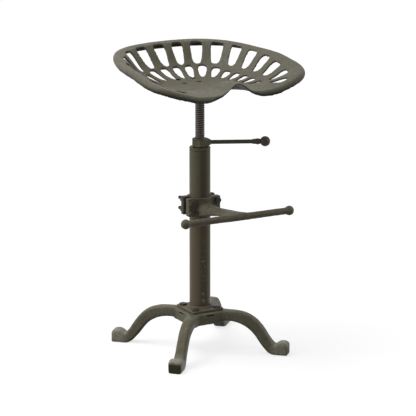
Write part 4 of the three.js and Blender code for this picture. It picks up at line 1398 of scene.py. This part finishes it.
# Both dark coats below are painted shade: the seat's underside and the notch's steep front face
painted_underside_shade = (0.024, 0.018, 0.011)
painted_notch_shade = (0.03, 0.023, 0.014)
notch_side_fade = (0.06, 0.045)
notch_front_fade = (-0.11, -0.13)
tree = seat_iron.node_tree
place = object_place(tree)
facing_up = component(tree, add_node(tree, "ShaderNodeNewGeometry").outputs["True Normal"], "Z")
# The underside, where the surface faces down, is darkened with painted shade
marked(seat_iron, spread(tree, facing_up, 0.12, -0.12), painted_underside_shade)
# Painted shade also darkens the steep front face of the notch
off_middle = add_node(tree, "ShaderNodeMath", {0: component(tree, place, "X")}, operation="ABSOLUTE")
in_notch = spread(tree, off_middle.outputs[0], *notch_side_fade)
notch_face = times(tree, in_notch, spread(tree, component(tree, place, "Y"), *notch_front_fade))
marked(seat_iron, times(tree, notch_face, spread(tree, facing_up, 0.55, 0.3)), painted_notch_shade)
fitted(shaded(seat, sharp_above=50), seat_iron, "seat", "iron", "seat_casting")

# Seat socket. A small casting under the pan: a flange on the four seat bolts, and a tapered boss that
# the screw's top sits in, with a cross pin through both.
flange_height = 0.006
flange_bevel = 0.001
flange_top = pad_bottom - piece_gap
flange_bottom = flange_top - flange_height
flange_middle = flange_bottom + flange_height / 2
boss_top_radius = 0.018
boss_low_radius = 0.013
boss_edge = 0.0008
collar_drop = 0.003
flange = slab("flange", flange_outline, flange_bottom, flange_top, flange_bevel)
boss = turned("boss", [
    (0, boss_bottom), (boss_low_radius - boss_edge, boss_bottom), (boss_low_radius, boss_bottom + boss_edge),
    (boss_top_radius, flange_bottom - collar_drop), (boss_top_radius, flange_middle), (0, flange_middle),
], segments=56)
socket = fused("screw_socket", [flange, boss], grain=0.0009, softening=2)
bore = rod("bore", screw_core + piece_gap, boss_bottom - cut_past, screw_top + piece_gap, segments=40)
cut(socket, [bore, cross_hole(reach=0.024)])
cut(socket, drilled(seat_bolt_places, seat_bolt_bore, flange_bottom - cut_past, flange_top + cut_past))
moved(socket, on_column)
fitted(shaded(socket, sharp_above=50), seat_iron, "seat", "iron", "seat_socket")

pin_show = 0.001
pin_half = boss_low_radius + pin_show
pin = turned("cross_pin", pin_profile(pin_radius, -pin_half, pin_half), segments=28)
moved(pin, Matrix.Translation(column + Vector((0, 0, pin_height))) @ along_x)
fitted(shaded(pin), bolt_iron, "seat", "steel", "socket_pin")

# Seat bolts. Four small round-headed bolts sunk in the pan, with their nuts under the socket's flange.
# They are coated and lie flush, so that only four faint marks show in the pan.
seat_nut_across = 0.01
seat_nut_height = 0.005
seat_nut_face = flange_bottom - piece_gap
seat_nut_bottom = seat_nut_face - seat_nut_height
head_bottom = seat_bolt_seat + piece_gap
head_top = head_bottom + seat_bolt_head - 0.0006
pattern_bolt = turned("bolt", [
    (0, head_bottom - 0.001), (seat_bolt_head_radius, head_bottom),
    (seat_bolt_head_radius, head_top - 0.001), (seat_bolt_head_radius - 0.0008, head_top - 0.0003),
    (seat_bolt_head_radius * 0.5, head_top), (0, head_top),
], segments=40)
shank = threaded("shank", seat_bolt_radius, depth=0.0005, pitch=0.001, low=seat_nut_bottom - thread_show,
                 high=head_bottom + 0.0003, tip=0.0006)
united(pattern_bolt, shank)
pattern_nut = hexagonal("nut", seat_nut_across, seat_nut_bottom, seat_nut_face, seat_bolt_bore)
for (x, y), place in zip(seat_bolt_places, ("front_left", "front_right", "rear_left", "rear_right")):
    move = Matrix.Translation(column + Vector((x, y, 0)))
    for kind, pattern in (("bolt_", pattern_bolt), ("nut_", pattern_nut)):
        fastened(pattern, "pan_" + kind + place, move, "seat", "seat_" + kind + place)
bpy.data.objects.remove(pattern_bolt)
bpy.data.objects.remove(pattern_nut)
